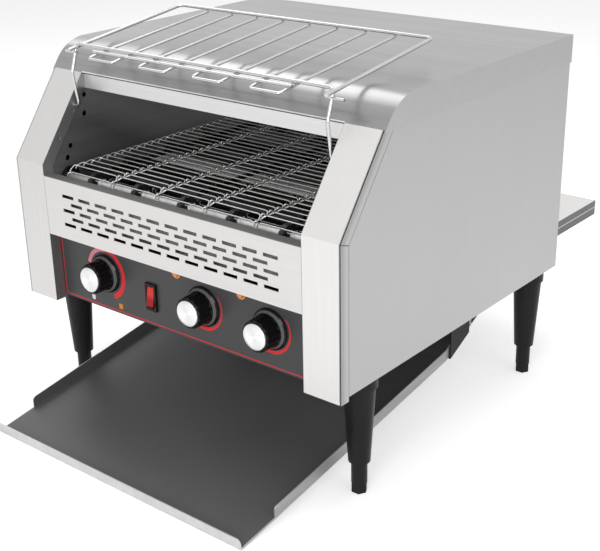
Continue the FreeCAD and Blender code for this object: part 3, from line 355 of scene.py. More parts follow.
def build_span_mask():
    """One between two places along an axis: clamp((d - start) / soft + 1/2) times
    clamp((end - d) / soft + 1/2), where d is the place along the axis, with x taken from the middle."""
    sockets = [
        ("Axis", "NodeSocketVector", rearward), ("Start", "NodeSocketFloat", 0.0),
        ("End", "NodeSocketFloat", beyond), ("Soft", "NodeSocketFloat", crisp),
    ]
    tree, nodes, links, given, result = new_group("span_mask", sockets, ["Mask"])
    split = nodes.new("ShaderNodeSeparateXYZ")
    join = nodes.new("ShaderNodeCombineXYZ")
    links.new(nodes.new("ShaderNodeTexCoord").outputs["Object"], split.inputs["Vector"])
    links.new(reckon(nodes, links, "ABSOLUTE", split.outputs["X"]), join.inputs["X"])
    links.new(split.outputs["Y"], join.inputs["Y"])
    links.new(split.outputs["Z"], join.inputs["Z"])
    from_middle = join.outputs["Vector"]
    along = reckon_vector(nodes, links, "DOT_PRODUCT", from_middle, given.outputs["Axis"], result="Value")
    steps = []
    for first, second in ((along, given.outputs["Start"]), (given.outputs["End"], along)):
        past = reckon(nodes, links, "SUBTRACT", first, second)
        share = reckon(nodes, links, "DIVIDE", past, given.outputs["Soft"])
        steps.append(reckon(nodes, links, "ADD", share, 0.5, clamp=True))
    links.new(reckon(nodes, links, "MULTIPLY", *steps), result.inputs["Mask"])
    return tree


brushed_grain = build_brushed_grain()
span_mask = build_span_mask()


def span(axis, start, end, soft=crisp):
    """Settings of a span mask between two places along a direction."""
    return dict(Axis=axis, Start=start, End=end, Soft=soft)


def spans_mask(nodes, links, spans):
    """Where all the spans hold at once, as a factor socket."""
    factor = place_group(nodes, span_mask, **spans[0]).outputs["Mask"]
    for more in spans[1:]:
        mask = place_group(nodes, span_mask, **more).outputs["Mask"]
        factor = reckon(nodes, links, "MULTIPLY", factor, mask)
    return factor


def lay_over(nodes, links, factor, under, over):
    """Colour socket laid over another by a factor socket."""
    mix = nodes.new("ShaderNodeMix")
    mix.data_type = "RGBA"
    links.new(factor, mix.inputs["Factor"])
    links.new(under, mix.inputs["A"])
    links.new(over, mix.inputs["B"])
    return mix.outputs["Result"]


def sheet_metal(name, grain, low, high, rough, metal=1.0, line_depth=0.00004, band_mix=0.5, patches=()):
    """Rolled and ground sheet: colour and gloss follow the grain lines and broad bands, with other tones
    on patches, each given as (low, high, spans)."""
    material, nodes, links, shader = new_material(name)
    skin = place_group(nodes, brushed_grain, **grain)
    weigh = nodes.new("ShaderNodeMix")
    weigh.data_type = "FLOAT"
    weigh.inputs["Factor"].default_value = band_mix
    links.new(skin.outputs["Lines"], weigh.inputs["A"])
    links.new(skin.outputs["Bands"], weigh.inputs["B"])
    tone = remap(nodes, links, weigh.outputs["Result"], low=0.0, high=1.0)
    colour = blend_colour(nodes, links, tone, low, high)
    for patch_low, patch_high, spans in patches:
        patch_colour = blend_colour(nodes, links, tone, patch_low, patch_high)
        colour = lay_over(nodes, links, spans_mask(nodes, links, spans), colour, patch_colour)
    links.new(colour, shader.inputs["Base Color"])
    links.new(remap(nodes, links, skin.outputs["Cloud"], *rough), shader.inputs["Roughness"])
    shader.inputs["Metallic"].default_value = metal
    bump(nodes, links, shader, skin.outputs["Lines"], grain_strength, line_depth)
    return material


wall_dark = (0.84, 0.84, 0.84, 1.0)
wall_light = (0.93, 0.93, 0.925, 1.0)
# Painted shade: the inner walls are darkened towards the bottom and the front, where the belt and hood
# shade them.
wall_shade_dark = (0.14, 0.14, 0.14, 1.0)
wall_shade_light = (0.2, 0.2, 0.2, 1.0)
# Near-black tones: heat blackening on bars and bushes, and a painted shade on the shield and reflectors.
soot_and_shade_dark = (0.02, 0.02, 0.02, 1.0)
soot_and_shade_light = (0.05, 0.05, 0.05, 1.0)
shade_across = (0.0, 0.5, 0.866)
shade_place = 0.275
shade_fade = 0.12
painted_wall_shade = [(wall_shade_dark, wall_shade_light, [span(shade_across, -beyond, shade_place, shade_fade)])]
zinc_sheet = sheet_metal("zinc_sheet", along_y, zinc_dark, zinc_light, rough=(0.32, 0.5))
wall_sheet = sheet_metal(
    "wall_sheet", along_y, wall_dark, wall_light,
    rough=(0.4, 0.5), metal=0.5, line_depth=0.000006, patches=painted_wall_shade)
# Painted shade: the shield under the belt is coloured near black for the shade it lies in.
shade_black_sheet = sheet_metal("shade_black_sheet", along_x, soot_and_shade_dark, soot_and_shade_light, rough=(0.4, 0.6))
dress(wall_sheet, "left_inner_wall", "right_inner_wall")
dress(zinc_sheet, "left_base_channel", "right_base_channel", "rear_panel")
dress(zinc_sheet, "compartment_floor", "rear_deflector", "fan_guard")
dress(shade_black_sheet, "heat_shield")
dress(leg_enamel, "chute_hangers")

# Outer casing: side panels, front posts and vent panel in ground stainless sheet with a satin face,
# folded, and fixed by screws under the hood's skirts. Each post is mitred where it leans back, and
# the left post, the posts' inner returns and the vent panel's inside lie in shade and are toned down.
# The side panels and the posts' side tabs carry a darker tone than the fronts, a painted shade; the
# tabs darken further towards their front edges, and a painted shadow lines the right post's outer
# corner and the tabs' mitres.
# Painted shade: the side panels are toned darker than the posts' fronts for the light that falls on them.
side_shade_dark = (0.455, 0.455, 0.455, 1.0)
side_shade_light = (0.475, 0.475, 0.475, 1.0)
post_dark = (0.74, 0.73, 0.715, 1.0)
post_light = (0.785, 0.775, 0.76, 1.0)
left_dark = (0.66, 0.652, 0.64, 1.0)
left_light = (0.7, 0.692, 0.68, 1.0)
vent_dark = (0.67, 0.66, 0.65, 1.0)
vent_light = (0.715, 0.705, 0.695, 1.0)
# Painted shadow: a near-black line along the right post's outer corner and at the mitres, for the shade in
# the seam.
seam_shadow_black = (0.02, 0.02, 0.02, 1.0)
# Painted shade: the side tabs grow darker towards their front edges.
tab_shade_dark = (0.34, 0.34, 0.34, 1.0)
tab_shade_light = (0.37, 0.37, 0.37, 1.0)
return_dark = (0.3, 0.3, 0.3, 1.0)
return_light = (0.36, 0.36, 0.36, 1.0)
inside_dark = (0.34, 0.336, 0.33, 1.0)
inside_light = (0.41, 0.405, 0.4, 1.0)
post_low, post_high = np.array(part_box("right_front_post"))
vent_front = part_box("vent_panel")[0][1]
vent_sheet = 0.0014
kink_z = 0.297
lean_run = 0.068
lean_rise = 0.0925
lean = math.atan2(lean_run, lean_rise)
skin_depth = 0.0003
seam_width = 0.0022
seam_half = 0.0004
shade_reach = 0.005
mitre_across = (0.0, math.sin(lean / 2), math.cos(lean / 2))
mitre_place = mitre_across[1] * post_low[1] + mitre_across[2] * kink_z
lean_across = (0.0, math.cos(lean), -math.sin(lean))
lean_place = lean_across[1] * post_low[1] + lean_across[2] * kink_z
tab_side = span(sideways, post_high[0] - skin_depth, beyond)
near_face = span(rearward, -beyond, post_low[1] + shade_reach, shade_reach)
near_slope = span(lean_across, -beyond, lean_place + shade_reach, shade_reach)
on_mitre = span(mitre_across, mitre_place - seam_half, mitre_place + seam_half)
corner_shadow_line = (seam_shadow_black, seam_shadow_black, [span(sideways, post_high[0] - seam_width, beyond)])
# Painted shade on the posts: side tabs in the side panels' darker tone, darker still near their front
# edges, a painted shadow at the mitres, and the inner returns toned down.
post_shade_patches = [
    (side_shade_dark, side_shade_light, [tab_side]),
    (tab_shade_dark, tab_shade_light, [tab_side, near_face]),
    (tab_shade_dark, tab_shade_light, [tab_side, near_slope]),
    (seam_shadow_black, seam_shadow_black, [tab_side, on_mitre]),
    (return_dark, return_light, [span(sideways, -beyond, post_low[0] + skin_depth)]),
]
behind_face = (inside_dark, inside_light, [span(rearward, vent_front + vent_sheet, beyond)])
satin_face = dict(rough=(0.34, 0.4), metal=0.75, line_depth=0.000004, band_mix=0.3)
shaded_side_steel = sheet_metal(
    "shaded_side_steel", along_z, side_shade_dark, side_shade_light,
    rough=(0.38, 0.42), metal=0.85, line_depth=0.000004, band_mix=0.3)
post_steel = sheet_metal("post_steel", along_z, left_dark, left_light, patches=post_shade_patches, **satin_face)
post_shadow_patches = [corner_shadow_line] + post_shade_patches
shadow_lined_steel = sheet_metal(
    "shadow_lined_post_steel", along_z, post_dark, post_light, patches=post_shadow_patches, **satin_face)
vent_steel = sheet_metal("vent_steel", along_x, vent_dark, vent_light, patches=[behind_face], **satin_face)
dress(shaded_side_steel, "left_side_panel", "right_side_panel")
dress(post_steel, "left_front_post")
dress(shadow_lined_steel, "right_front_post")
dress(vent_steel, "vent_panel")

# Hood and shelf: one stainless sheet rolled over the front shoulder, with its grain across the toaster,
# screwed down through its skirts. The skirts carry a lighter tone of their own than the top, a painted
# light, and a thin painted highlight runs along the lip's edge. A brighter strip is its baffle, behind
# the lip. The shelf's edges are folded twice; its sides carry a painted shade, with a painted highlight
# along the fold.
hood_dark = (0.28, 0.28, 0.28, 1.0)
hood_light = (0.36, 0.36, 0.36, 1.0)
# Painted light: the hood's side skirts are toned lighter than its top.
lit_skirt_dark = (0.415, 0.415, 0.415, 1.0)
lit_skirt_light = (0.44, 0.44, 0.44, 1.0)
# Painted shade on the shelf's side faces, with a painted highlight along their fold.
shelf_shade_dark = (0.1, 0.1, 0.1, 1.0)
shelf_shade_light = (0.14, 0.14, 0.14, 1.0)
baffle_dark = (0.72, 0.72, 0.715, 1.0)
baffle_light = (0.79, 0.79, 0.785, 1.0)
hood_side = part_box("top_cover")[1][0]
shelf_low, shelf_high = np.array(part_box("rear_shelf"))
fold_share = 0.28
fold_z = shelf_low[2] + fold_share * (shelf_high[2] - shelf_low[2])
lip_z = 0.3895
lip_rim = 0.0012
lip_half = 0.187
# Painted highlight: a thin bright band along the lip's lower edge.
lip_highlight_spans = [
    span(upward, lip_z - lip_rim, lip_z + lip_rim),
    span(sideways, -beyond, lip_half),
    span(rearward, -beyond, 0.0),
]
shaded_shelf_side = span(sideways, shelf_high[0] - skin_depth, beyond)
shelf_fold_highlight = span(upward, fold_z - seam_half, fold_z + seam_half)
hood_patches = [
    (lit_skirt_dark, lit_skirt_light, [span(sideways, hood_side - skin_depth, beyond)]),
    (baffle_dark, baffle_light, lip_highlight_spans),
]
shelf_patches = [(shelf_shade_dark, shelf_shade_light, [shaded_shelf_side]), (post_dark, post_light, [shaded_shelf_side, shelf_fold_highlight])]
plain_face = dict(rough=(0.3, 0.4), line_depth=0.000006, band_mix=0.3)
hood_steel = sheet_metal(
    "hood_steel", along_x, hood_dark, hood_light, rough=(0.25, 0.33), line_depth=0.00002, band_mix=0.6,
    patches=hood_patches)
bright_steel = sheet_metal("bright_steel", along_x, baffle_dark, baffle_light, metal=0.6, **plain_face)
shelf_steel = sheet_metal(
    "shelf_steel", along_x, post_dark, post_light, metal=0.7, patches=shelf_patches, **plain_face)
dress(hood_steel, "top_cover")
dress(bright_steel, "front_baffle")
dress(shelf_steel, "rear_shelf")

# Heaters, holders and reflectors: dull steel-sheathed tubes in ceramic blocks browned by the heat,
# clipped under and over bright aluminised sheets, which carry a painted shade in front of and behind
# a lit strip below the middle of the belt.
sheath_dark = (0.03, 0.028, 0.026, 1.0)
sheath_light = (0.08, 0.072, 0.064, 1.0)
ceramic_low = (0.08, 0.074, 0.066, 1.0)
ceramic_high = (0.15, 0.14, 0.125, 1.0)
reflector_dark = (0.8, 0.8, 0.79, 1.0)
reflector_light = (0.92, 0.92, 0.91, 1.0)
lit_strip_front = -0.083
lit_strip_rear = 0.0
front_fade = 0.01
rear_fade = 0.03
# Painted shade: the reflectors are darkened in front of and behind the strip where light reaches them.
painted_reflector_shade = [
    (soot_and_shade_dark, soot_and_shade_light, [span(rearward, -beyond, lit_strip_front, front_fade)]),
    (soot_and_shade_dark, soot_and_shade_light, [span(rearward, lit_strip_rear, beyond, rear_fade)]),
]
sheath = sheet_metal("heater_sheath", along_x, sheath_dark, sheath_light, rough=(0.35, 0.55))
reflector_sheet = sheet_metal(
    "reflector_sheet", along_x, reflector_dark, reflector_light,
    rough=(0.4, 0.5), metal=0.1, patches=painted_reflector_shade)
ceramic = painted(
    "holder_ceramic", ceramic_low, ceramic_high, rough=(0.6, 0.8), peel_size=500.0, peel_depth=0.0001)
dress(sheath, "upper_heaters", "lower_heaters")
dress(reflector_sheet, "upper_reflector", "lower_reflector")
dress(ceramic, "heater_holders")

# Shafts, bushes and rails: turned bar and flat bars that the heat has blackened, in oiled iron bushes.
# The idler's bar is bright near its axis and dark further out; the screws, chain and sprocket sit outside
# the heat and stay bright.
shaft_dark = (0.3, 0.3, 0.3, 1.0)
shaft_light = (0.48, 0.48, 0.48, 1.0)
idler_low, idler_high = np.array(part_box("idler_shaft"))
idler_y, idler_z = ((idler_low + idler_high) / 2)[1:]
bright_core_half = 0.006
bright_core_spans = [
    span(rearward, idler_y - bright_core_half, idler_y + bright_core_half),
    span(upward, idler_z - bright_core_half, idler_z + bright_core_half),
]
bright_core = [(reflector_dark, reflector_light, bright_core_spans)]
turned_steel = sheet_metal("turned_steel", along_y, shaft_dark, shaft_light, rough=(0.25, 0.4))
blackened_bar = sheet_metal("blackened_bar", along_y, soot_and_shade_dark, soot_and_shade_light, rough=(0.3, 0.5))
core_bright_bar = sheet_metal(
    "core_bright_bar", along_y, soot_and_shade_dark, soot_and_shade_light, rough=(0.3, 0.5), metal=0.5, patches=bright_core)
oiled_iron = painted(
    "oiled_iron", soot_and_shade_dark, soot_and_shade_light, rough=(0.3, 0.5), peel_size=900.0, peel_depth=0.0001, metal=1.0)
dress(turned_steel, "motor_sprocket", "drive_chain", "screws")
dress(blackened_bar, "drive_shaft", "belt_rails")
dress(core_bright_bar, "idler_shaft")
dress(oiled_iron, "shaft_bearings")

# Wire belt: each strand is one spring-steel wire, cranked one pitch forward and back at the joint
# columns, where it curls round the next strand. It runs in a closed loop round both shafts.
belt_pitch = 0.012
belt_half = 0.175
belt_spaces = 5
belt_run_pitches = 27
wheel_pitches = 8
belt_wire = 0.00076
wire_sides = 6
bend_reach = 0.0016
bend_steps = 3
nearly_sideways = 0.9
belt_dark = (0.66, 0.655, 0.645, 1.0)
belt_light = (0.95, 0.945, 0.935, 1.0)
loop_radius = wheel_pitches * belt_pitch / (2 * math.pi)
drive_low, drive_high = np.array(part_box("drive_shaft"))
drive_y = (drive_low[1] + drive_high[1]) / 2
hook = np.array([(0.002, -0.3, -0.0022), (0.0, 0.12, 0.0), (0.001, 0.8, 0.0018), (0.004, 1.0, 0.0)])
knuckle = np.array([
    (-0.004, 1.0, 0.0), (-0.0004, 0.9, -0.0004), (0.0, 0.7, -0.0028), (0.0004, 0.15, -0.0032),
    (0.0008, -0.16, -0.0008), (0.0016, -0.02, 0.0018), (0.0026, 0.16, -0.0004), (0.0034, 0.6, -0.0026),
    (0.0058, 0.96, -0.0004), (0.009, 1.0, 0.0),
])


def on_loop(distance, height):
    """Place (y, z) of a point by its distance along the belt's oval path and its height off it:
    straight along the top, half round the drive wheels, straight back below and half round the idler."""
    run = belt_run_pitches * belt_pitch
    bend = math.pi * loop_radius
    s = np.mod(distance, 2 * (run + bend))
    radius = loop_radius + height
    rear = np.clip((s - run) / loop_radius, 0.0, math.pi)
    front = np.clip((s - 2 * run - bend) / loop_radius, 0.0, math.pi)
    where = [s <= run, s < run + bend, s <= 2 * run + bend]
    y_top = idler_y + np.clip(s, 0.0, run)
    y_rear = drive_y + radius * np.sin(rear)
    y_low = drive_y - np.clip(s - run - bend, 0.0, run)
    y_front = idler_y - radius * np.sin(front)
    z_rear = idler_z + radius * np.cos(rear)
    z_front = idler_z - radius * np.cos(front)
    y = np.select(where, [y_top, y_rear, y_low], y_front)
    z = np.select(where, [idler_z + radius, z_rear, idler_z - radius], z_front)
    return y, z


def rounded_path(points, bend, steps):
    """The path with each inner corner replaced by a parabola that starts a bend length before it and
    ends as far after it: (1 - t)^2 start + 2 t (1 - t) corner + t^2 end, for t from 0 to 1."""
    pieces = [points[:1]]
    share = np.linspace(0.0, 1.0, steps)[:, None]
    for before, corner_point, after in zip(points, points[1:], points[2:]):
        arrive = corner_point - before
        leave = after - corner_point
        reach_in = min(bend, np.linalg.norm(arrive) / 2)
        reach_out = min(bend, np.linalg.norm(leave) / 2)
        start = corner_point - arrive / np.linalg.norm(arrive) * reach_in
        end = corner_point + leave / np.linalg.norm(leave) * reach_out
        parabola = (1 - share) ** 2 * start + 2 * share * (1 - share) * corner_point + share ** 2 * end
        pieces.append(parabola)
    pieces.append(points[-1:])
    return np.concatenate(pieces)


def wire_rings(paths, radius, sides):
    """Round wire about many paths at once, as an array of paths, points, sides and xyz: a ring of points
    at each path point, square to its direction."""
    ahead = np.gradient(paths, axis=1)
    ahead = ahead / np.linalg.norm(ahead, axis=2, keepdims=True)
    helper = np.where(np.abs(ahead[..., :1]) > nearly_sideways, np.array(upward), np.array(sideways))
    side = np.cross(ahead, helper)
    side = side / np.linalg.norm(side, axis=2, keepdims=True)
    other = np.cross(ahead, side)
    angle = np.linspace(0.0, 2 * math.pi, sides, endpoint=False)
    around = side[:, :, None, :] * np.cos(angle)[:, None] + other[:, :, None, :] * np.sin(angle)[:, None]
    return paths[:, :, None, :] + radius * around


def wire_piece(name, paths, radius, sides):
    """Wires of one radius along an array of paths, each closed at both ends by a flat cap."""
    rings = wire_rings(paths, radius, sides)
    wires, stations = rings.shape[:2]
    wire = np.arange(wires)[:, None, None] * stations * sides
    base = wire + np.arange(stations - 1)[None, :, None] * sides
    around = np.arange(sides)[None, None, :]
    around_next = (around + 1) % sides
    corners = [base + around, base + around_next, base + sides + around_next, base + sides + around]
    quads = np.stack(corners, axis=-1).reshape(-1, 4)
    first = wire[:, 0] + np.arange(sides)[::-1]
    last = wire[:, 0] + (stations - 1) * sides + np.arange(sides)
    piece = mesh_piece(name, rings, quads.tolist() + first.tolist() + last.tolist())
    piece.data.polygons.foreach_set("use_smooth", [True] * len(quads) + [False] * (2 * wires))
    return piece


def belt_strand():
    """One strand's route as (x, distance, height): straight across each space, with a hook at each end,
    and at each column a knuckle: down, forward under the next strand, up over it and back."""
    space = 2 * belt_half / belt_spaces
    left_end = hook + [-belt_half, 0.0, 0.0]
    right_end = hook[::-1] * [-1.0, 1.0, 1.0] + [belt_half, 0.0, 0.0]
    knuckles = [knuckle + [-belt_half + column * space, 0.0, 0.0] for column in range(1, belt_spaces)]
    points = np.concatenate([left_end] + knuckles + [right_end]) * [1.0, belt_pitch, 1.0]
    return rounded_path(points, bend_reach, bend_steps)


strand = belt_strand()
strand_start = np.arange(2 * belt_run_pitches + wheel_pitches)[:, None] * belt_pitch
strand_y, strand_z = on_loop(strand_start + strand[None, :, 1], strand[None, :, 2])
strand_x = np.broadcast_to(strand[None, :, 0], strand_y.shape)
strand_paths = np.stack([strand_x, strand_y, strand_z], axis=-1)
belt = wire_piece("belt_strands", strand_paths, belt_wire, wire_sides)
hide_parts("wire_belt")
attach(belt, "housing")
belt_steel = sheet_metal("belt_wire_steel", along_x, belt_dark, belt_light, rough=(0.2, 0.3), metal=0.5)
belt.data.materials.append(belt_steel)

# Control panel: folded steel under a dark film, fixed between the front posts below the vent panel,
# with a red border, red setting arcs and two slice signs screen printed on it.
panel_low, panel_high = np.array(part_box("control_panel"))
film_low = (0.06, 0.058, 0.061, 1.0)
film_high = (0.074, 0.072, 0.075, 1.0)
ink_red = (0.9, 0.045, 0.05, 1.0)
ink_pink = (0.95, 0.32, 0.4, 1.0)
ink_white = (0.97, 0.97, 0.97, 1.0)
ink_orange = (0.9, 0.32, 0.02, 1.0)
ink_lift = 0.00008
ink_thin = 0.86
panel_front = panel_low[1]
knob_z = 0.179
speed_x = -0.112
upper_heat_x = 0.04
lower_heat_x = 0.133
speed_ring = 0.0283
heat_ring = 0.0258
arc_steps = 64
corner_steps = 8
sign_z = 0.1432
sign_steps = 48
sign_core = 0.1
sign_squareness = 0.8
sign_shoulder = 0.15
sign_waist = 0.86
sign_height = 0.95
panel_film = painted(
    "panel_film", film_low, film_high, rough=(0.36, 0.46), peel_size=1500.0, peel_depth=0.00002, shine=0.3)
dress(panel_film, "control_panel")


def flat_ink(name, colour):
    """Screen-printed ink: flat colour with a faint uneven screen."""
    thin_colour = tuple(ink_thin * part for part in colour[:3]) + (1.0,)
    return painted(
        name, thin_colour, colour, rough=(0.4, 0.5), peel_size=1800.0, peel_depth=0.00001, shine=0.15)


def ink_strip(name, inner, outer, closed=False):
    """Flat strip on the panel between two lines of (x, z) points, facing the front."""
    points = np.stack([inner, outer], axis=1)
    depth = np.full(points.shape[:2] + (1,), panel_front - ink_lift)
    points = np.concatenate([points[..., :1], depth, points[..., 1:]], axis=-1)
    return grid_piece(name, points, closed_u=closed)


def border_line(inset, radius):
    """Rectangle with round corners inside the panel's edges, a quarter circle at each corner."""
    angle = np.linspace(0.0, math.pi / 2, corner_steps)
    x = panel_high[0] - inset - radius
    low = panel_low[2] + inset + radius
    high = panel_high[2] - inset - radius
    quarters = []
    for quarter, (px, pz) in enumerate([(x, high), (x, low), (-x, low), (-x, high)]):
        turned = angle + quarter * math.pi / 2
        quarters.append(np.stack([px + radius * np.sin(turned), pz + radius * np.cos(turned)], axis=1))
    return np.concatenate(quarters)


def setting_arc(x, radius, turns, widths):
    """Inner and outer line of an arc about a knob, clockwise from the top between two turns in degrees,
    whose width grows evenly from the first to the second."""
    angle = np.radians(np.linspace(*turns, arc_steps))
    half = np.linspace(*widths, arc_steps) / 2
    circle = np.stack([np.sin(angle), np.cos(angle)], axis=1)
    middle = np.array([x, knob_z])
    return middle + circle * (radius - half)[:, None], middle + circle * (radius + half)[:, None]


def slice_line(x, z, size):
    """Outline of a slice of bread, as a closed line of (x, z): a circle pressed out towards a square
    and drawn in below its round shoulders."""
    angle = np.linspace(0.0, 2 * math.pi, sign_steps, endpoint=False)
    across = np.sin(angle)
    rise = np.cos(angle)
    reach = size / np.maximum(np.abs(across), np.abs(rise)) ** sign_squareness
    waist = np.where(rise > sign_shoulder, 1.0, sign_waist)
    return np.stack([x + reach * waist * across, z + reach * sign_height * rise], axis=1)


red_ink = flat_ink("red_ink", ink_red)
pink_ink = flat_ink("pink_ink", ink_pink)
border_inner = border_line(inset=0.0034, radius=0.003)
border_outer = border_line(inset=0.0022, radius=0.0035)
prints = [(ink_strip("panel_border", border_inner, border_outer, closed=True), red_ink)]
for name, ink, x, radius, turns, widths in (
    ("cool_arc", pink_ink, speed_x, speed_ring, (-75, 0), (0.0046, 0.005)),
    ("speed_arc", red_ink, speed_x, speed_ring, (0, 158), (0.005, 0.006)),
    ("upper_heat_arc", red_ink, upper_heat_x, heat_ring, (52, 196), (0.001, 0.0044)),
    ("lower_heat_arc", red_ink, lower_heat_x, heat_ring, (52, 198), (0.001, 0.0044)),
):
    prints.append((ink_strip(name, *setting_arc(x, radius, turns, widths)), ink))
for name, x, size, colour in (
    ("white_slice_sign", -0.1372, 0.0031, ink_white),
    ("brown_slice_sign", -0.0915, 0.0034, ink_orange),
):
    line = slice_line(x, sign_z, size)
    middle = np.array([x, sign_z])
    sign = ink_strip(name, middle + sign_core * (line - middle), line, closed=True)
    prints.append((sign, flat_ink(name + "_ink", colour)))
for sign, ink in prints:
    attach(sign, "housing")
    sign.data.materials.append(ink)

# Control knobs: gloss black mouldings, a flared skirt with a painted highlight ring and a fluted grip,
# each pushed on its control's spindle, with a turned aluminium cap pressed in its front and a white
# pointer line.
knob_black = (0.004, 0.004, 0.0045, 1.0)
knob_sheen = (0.009, 0.009, 0.0095, 1.0)
knob_shine = 0.16
knob_sides = 144
cap_sides = 96
flutes = 14
flute_depth = 0.001
# Painted highlight: a grey ring on each skirt's slope stands for the reflection it catches.
ring_highlight_low = (0.11, 0.11, 0.11, 1.0)
ring_highlight_high = (0.17, 0.17, 0.17, 1.0)
highlight_inner = 0.0187
highlight_outer = 0.0208
cap_dark = (0.7, 0.7, 0.7, 1.0)
cap_light = (0.9, 0.9, 0.9, 1.0)
cap_metal = 0.8
turning_scale = 2600.0
fan_turn = -0.9
gloss_peel = 900.0
gloss_relief = dict(strength=0.3, distance=0.00001)
grip_radius = 0.0176
skirt_gap = 0.0004
cap_sink = 0.0007
pointer_half = 0.0005
pointer_rise = (0.0052, 0.0041)
pointer_reach = (0.0009, 0.0028)


def swept_round(x, radius, depth, sides, waved=0.0):
    """Profile of radii and depths swept round a knob's axis, where the radius at an angle is less by
    waved times the fourth power of sin(flutes times angle / 2)."""
    angle = np.linspace(0.0, 2 * math.pi, sides, endpoint=False)
    wave = 0.5 - 0.5 * np.cos(flutes * angle)
    radius = radius[:, None] - waved * wave ** 2
    depth = np.broadcast_to(depth[:, None], radius.shape)
    return np.stack([x + radius * np.sin(angle), depth, knob_z + radius * np.cos(angle)], axis=-1)


def knob_surface(x, front, back_y, skirt_radius):
    """Profile of (radius, depth, flute share) from the skirt's back to the grip's front, swept round."""
    radius, depth, share = np.array([
        (0.0, back_y, 0.0),
        (skirt_radius - 0.0006, back_y, 0.0),
        (skirt_radius, back_y - 0.0006, 0.0),
        (skirt_radius, back_y - 0.0014, 0.0),
        (skirt_radius - 0.0008, back_y - 0.0024, 0.0),
        (skirt_radius - 0.0035, back_y - 0.0038, 0.0),
        (grip_radius + 0.0012, back_y - 0.0052, 0.0),
        (grip_radius + 0.0002, back_y - 0.0064, 0.0),
        (grip_radius, back_y - 0.0085, 1.0),
        (grip_radius - 0.0002, front + 0.0022, 1.0),
        (grip_radius - 0.0005, front + 0.0008, 0.8),
        (grip_radius - 0.0013, front, 0.3),
        (grip_radius - 0.0018, front, 0.0),
        (grip_radius - 0.0019, front + 0.0006, 0.0),
        (0.0, front + 0.0006, 0.0),
    ]).T
    return swept_round(x, radius, depth, knob_sides, waved=share[:, None] * flute_depth)


def cap_surface(x, front, back_y, cap_radius):
    """Profile of a thin cap with a bevelled rim and a very shallow dish, swept round."""
    radius, depth = np.array([
        (cap_radius, back_y),
        (cap_radius, front + 0.0005),
        (cap_radius - 0.0006, front),
        (cap_radius * 0.7, front + 0.00015),
        (cap_radius * 0.35, front + 0.00025),
        (0.00001, front + 0.0003),
    ]).T
    return swept_round(x, radius, depth, cap_sides)


def from_knob_axis(nodes, links, x):
    """Place across a knob's axis, and the distance from that axis."""
    place = nodes.new("ShaderNodeTexCoord").outputs["Object"]
    centred = reckon_vector(nodes, links, "SUBTRACT", place, (x, 0.0, knob_z))
    across = reckon_vector(nodes, links, "MULTIPLY", centred, (1.0, 0.0, 1.0))
    return across, reckon_vector(nodes, links, "LENGTH", across, result="Value")


def knob_moulding(name, x):
    """Gloss black moulding with a painted highlight on its skirt's slope: a grey ring between two distances
    from the axis.
    """
    material, nodes, links, shader = new_material(name)
    skin = place_group(nodes, cast_skin, Peel_Size=gloss_peel)
    away = from_knob_axis(nodes, links, x)[1]
    ring_middle = (highlight_inner + highlight_outer) / 2
    ring_half = (highlight_outer - highlight_inner) / 2
    ring = reckon(nodes, links, "COMPARE", away, ring_middle, ring_half)
    gloss = blend_colour(nodes, links, skin.outputs["Cloud"], knob_black, knob_sheen)
    ring_glint = blend_colour(nodes, links, skin.outputs["Cloud"], ring_highlight_low, ring_highlight_high)
    links.new(lay_over(nodes, links, ring, gloss, ring_glint), shader.inputs["Base Color"])
    links.new(remap(nodes, links, ring, low=0.16, high=0.3, start=0.0, end=1.0), shader.inputs["Roughness"])
    shader.inputs["Specular IOR Level"].default_value = knob_shine
    bump(nodes, links, shader, skin.outputs["Peel"], **gloss_relief)
    return material


def turned_face(name, x):
    """Face-turned aluminium: rings, from noise on the distance from the knob's axis, times a fan of light,
    the cosine of twice the angle about it, turned a little."""
    material, nodes, links, shader = new_material(name)
    across, away = from_knob_axis(nodes, links, x)
    rings = nodes.new("ShaderNodeTexNoise")
    rings.noise_dimensions = "1D"
    rings.inputs["Scale"].default_value = turning_scale
    rings.inputs["Detail"].default_value = 3.0
    links.new(away, rings.inputs["W"])
    split = nodes.new("ShaderNodeSeparateXYZ")
    links.new(across, split.inputs["Vector"])
    turn_angle = reckon(nodes, links, "ARCTAN2", split.outputs["Z"], split.outputs["X"])
    double = reckon(nodes, links, "MULTIPLY_ADD", turn_angle, 2.0, fan_turn)
    fan = reckon(nodes, links, "COSINE", double)
    fan_share = remap(nodes, links, fan, low=0.25, high=1.0, start=-1.0, end=1.0)
    ring_share = remap(nodes, links, rings.outputs["Fac"], low=0.75, high=1.0)
    glint = reckon(nodes, links, "MULTIPLY", fan_share, ring_share)
    links.new(blend_colour(nodes, links, glint, cap_dark, cap_light), shader.inputs["Base Color"])
    links.new(remap(nodes, links, rings.outputs["Fac"], low=0.26, high=0.36), shader.inputs["Roughness"])
    shader.inputs["Metallic"].default_value = cap_metal
    return material


def smooth_all(piece):
    """Shade every face of a piece smoothly."""
    piece.data.polygons.foreach_set("use_smooth", [True] * len(piece.data.polygons))


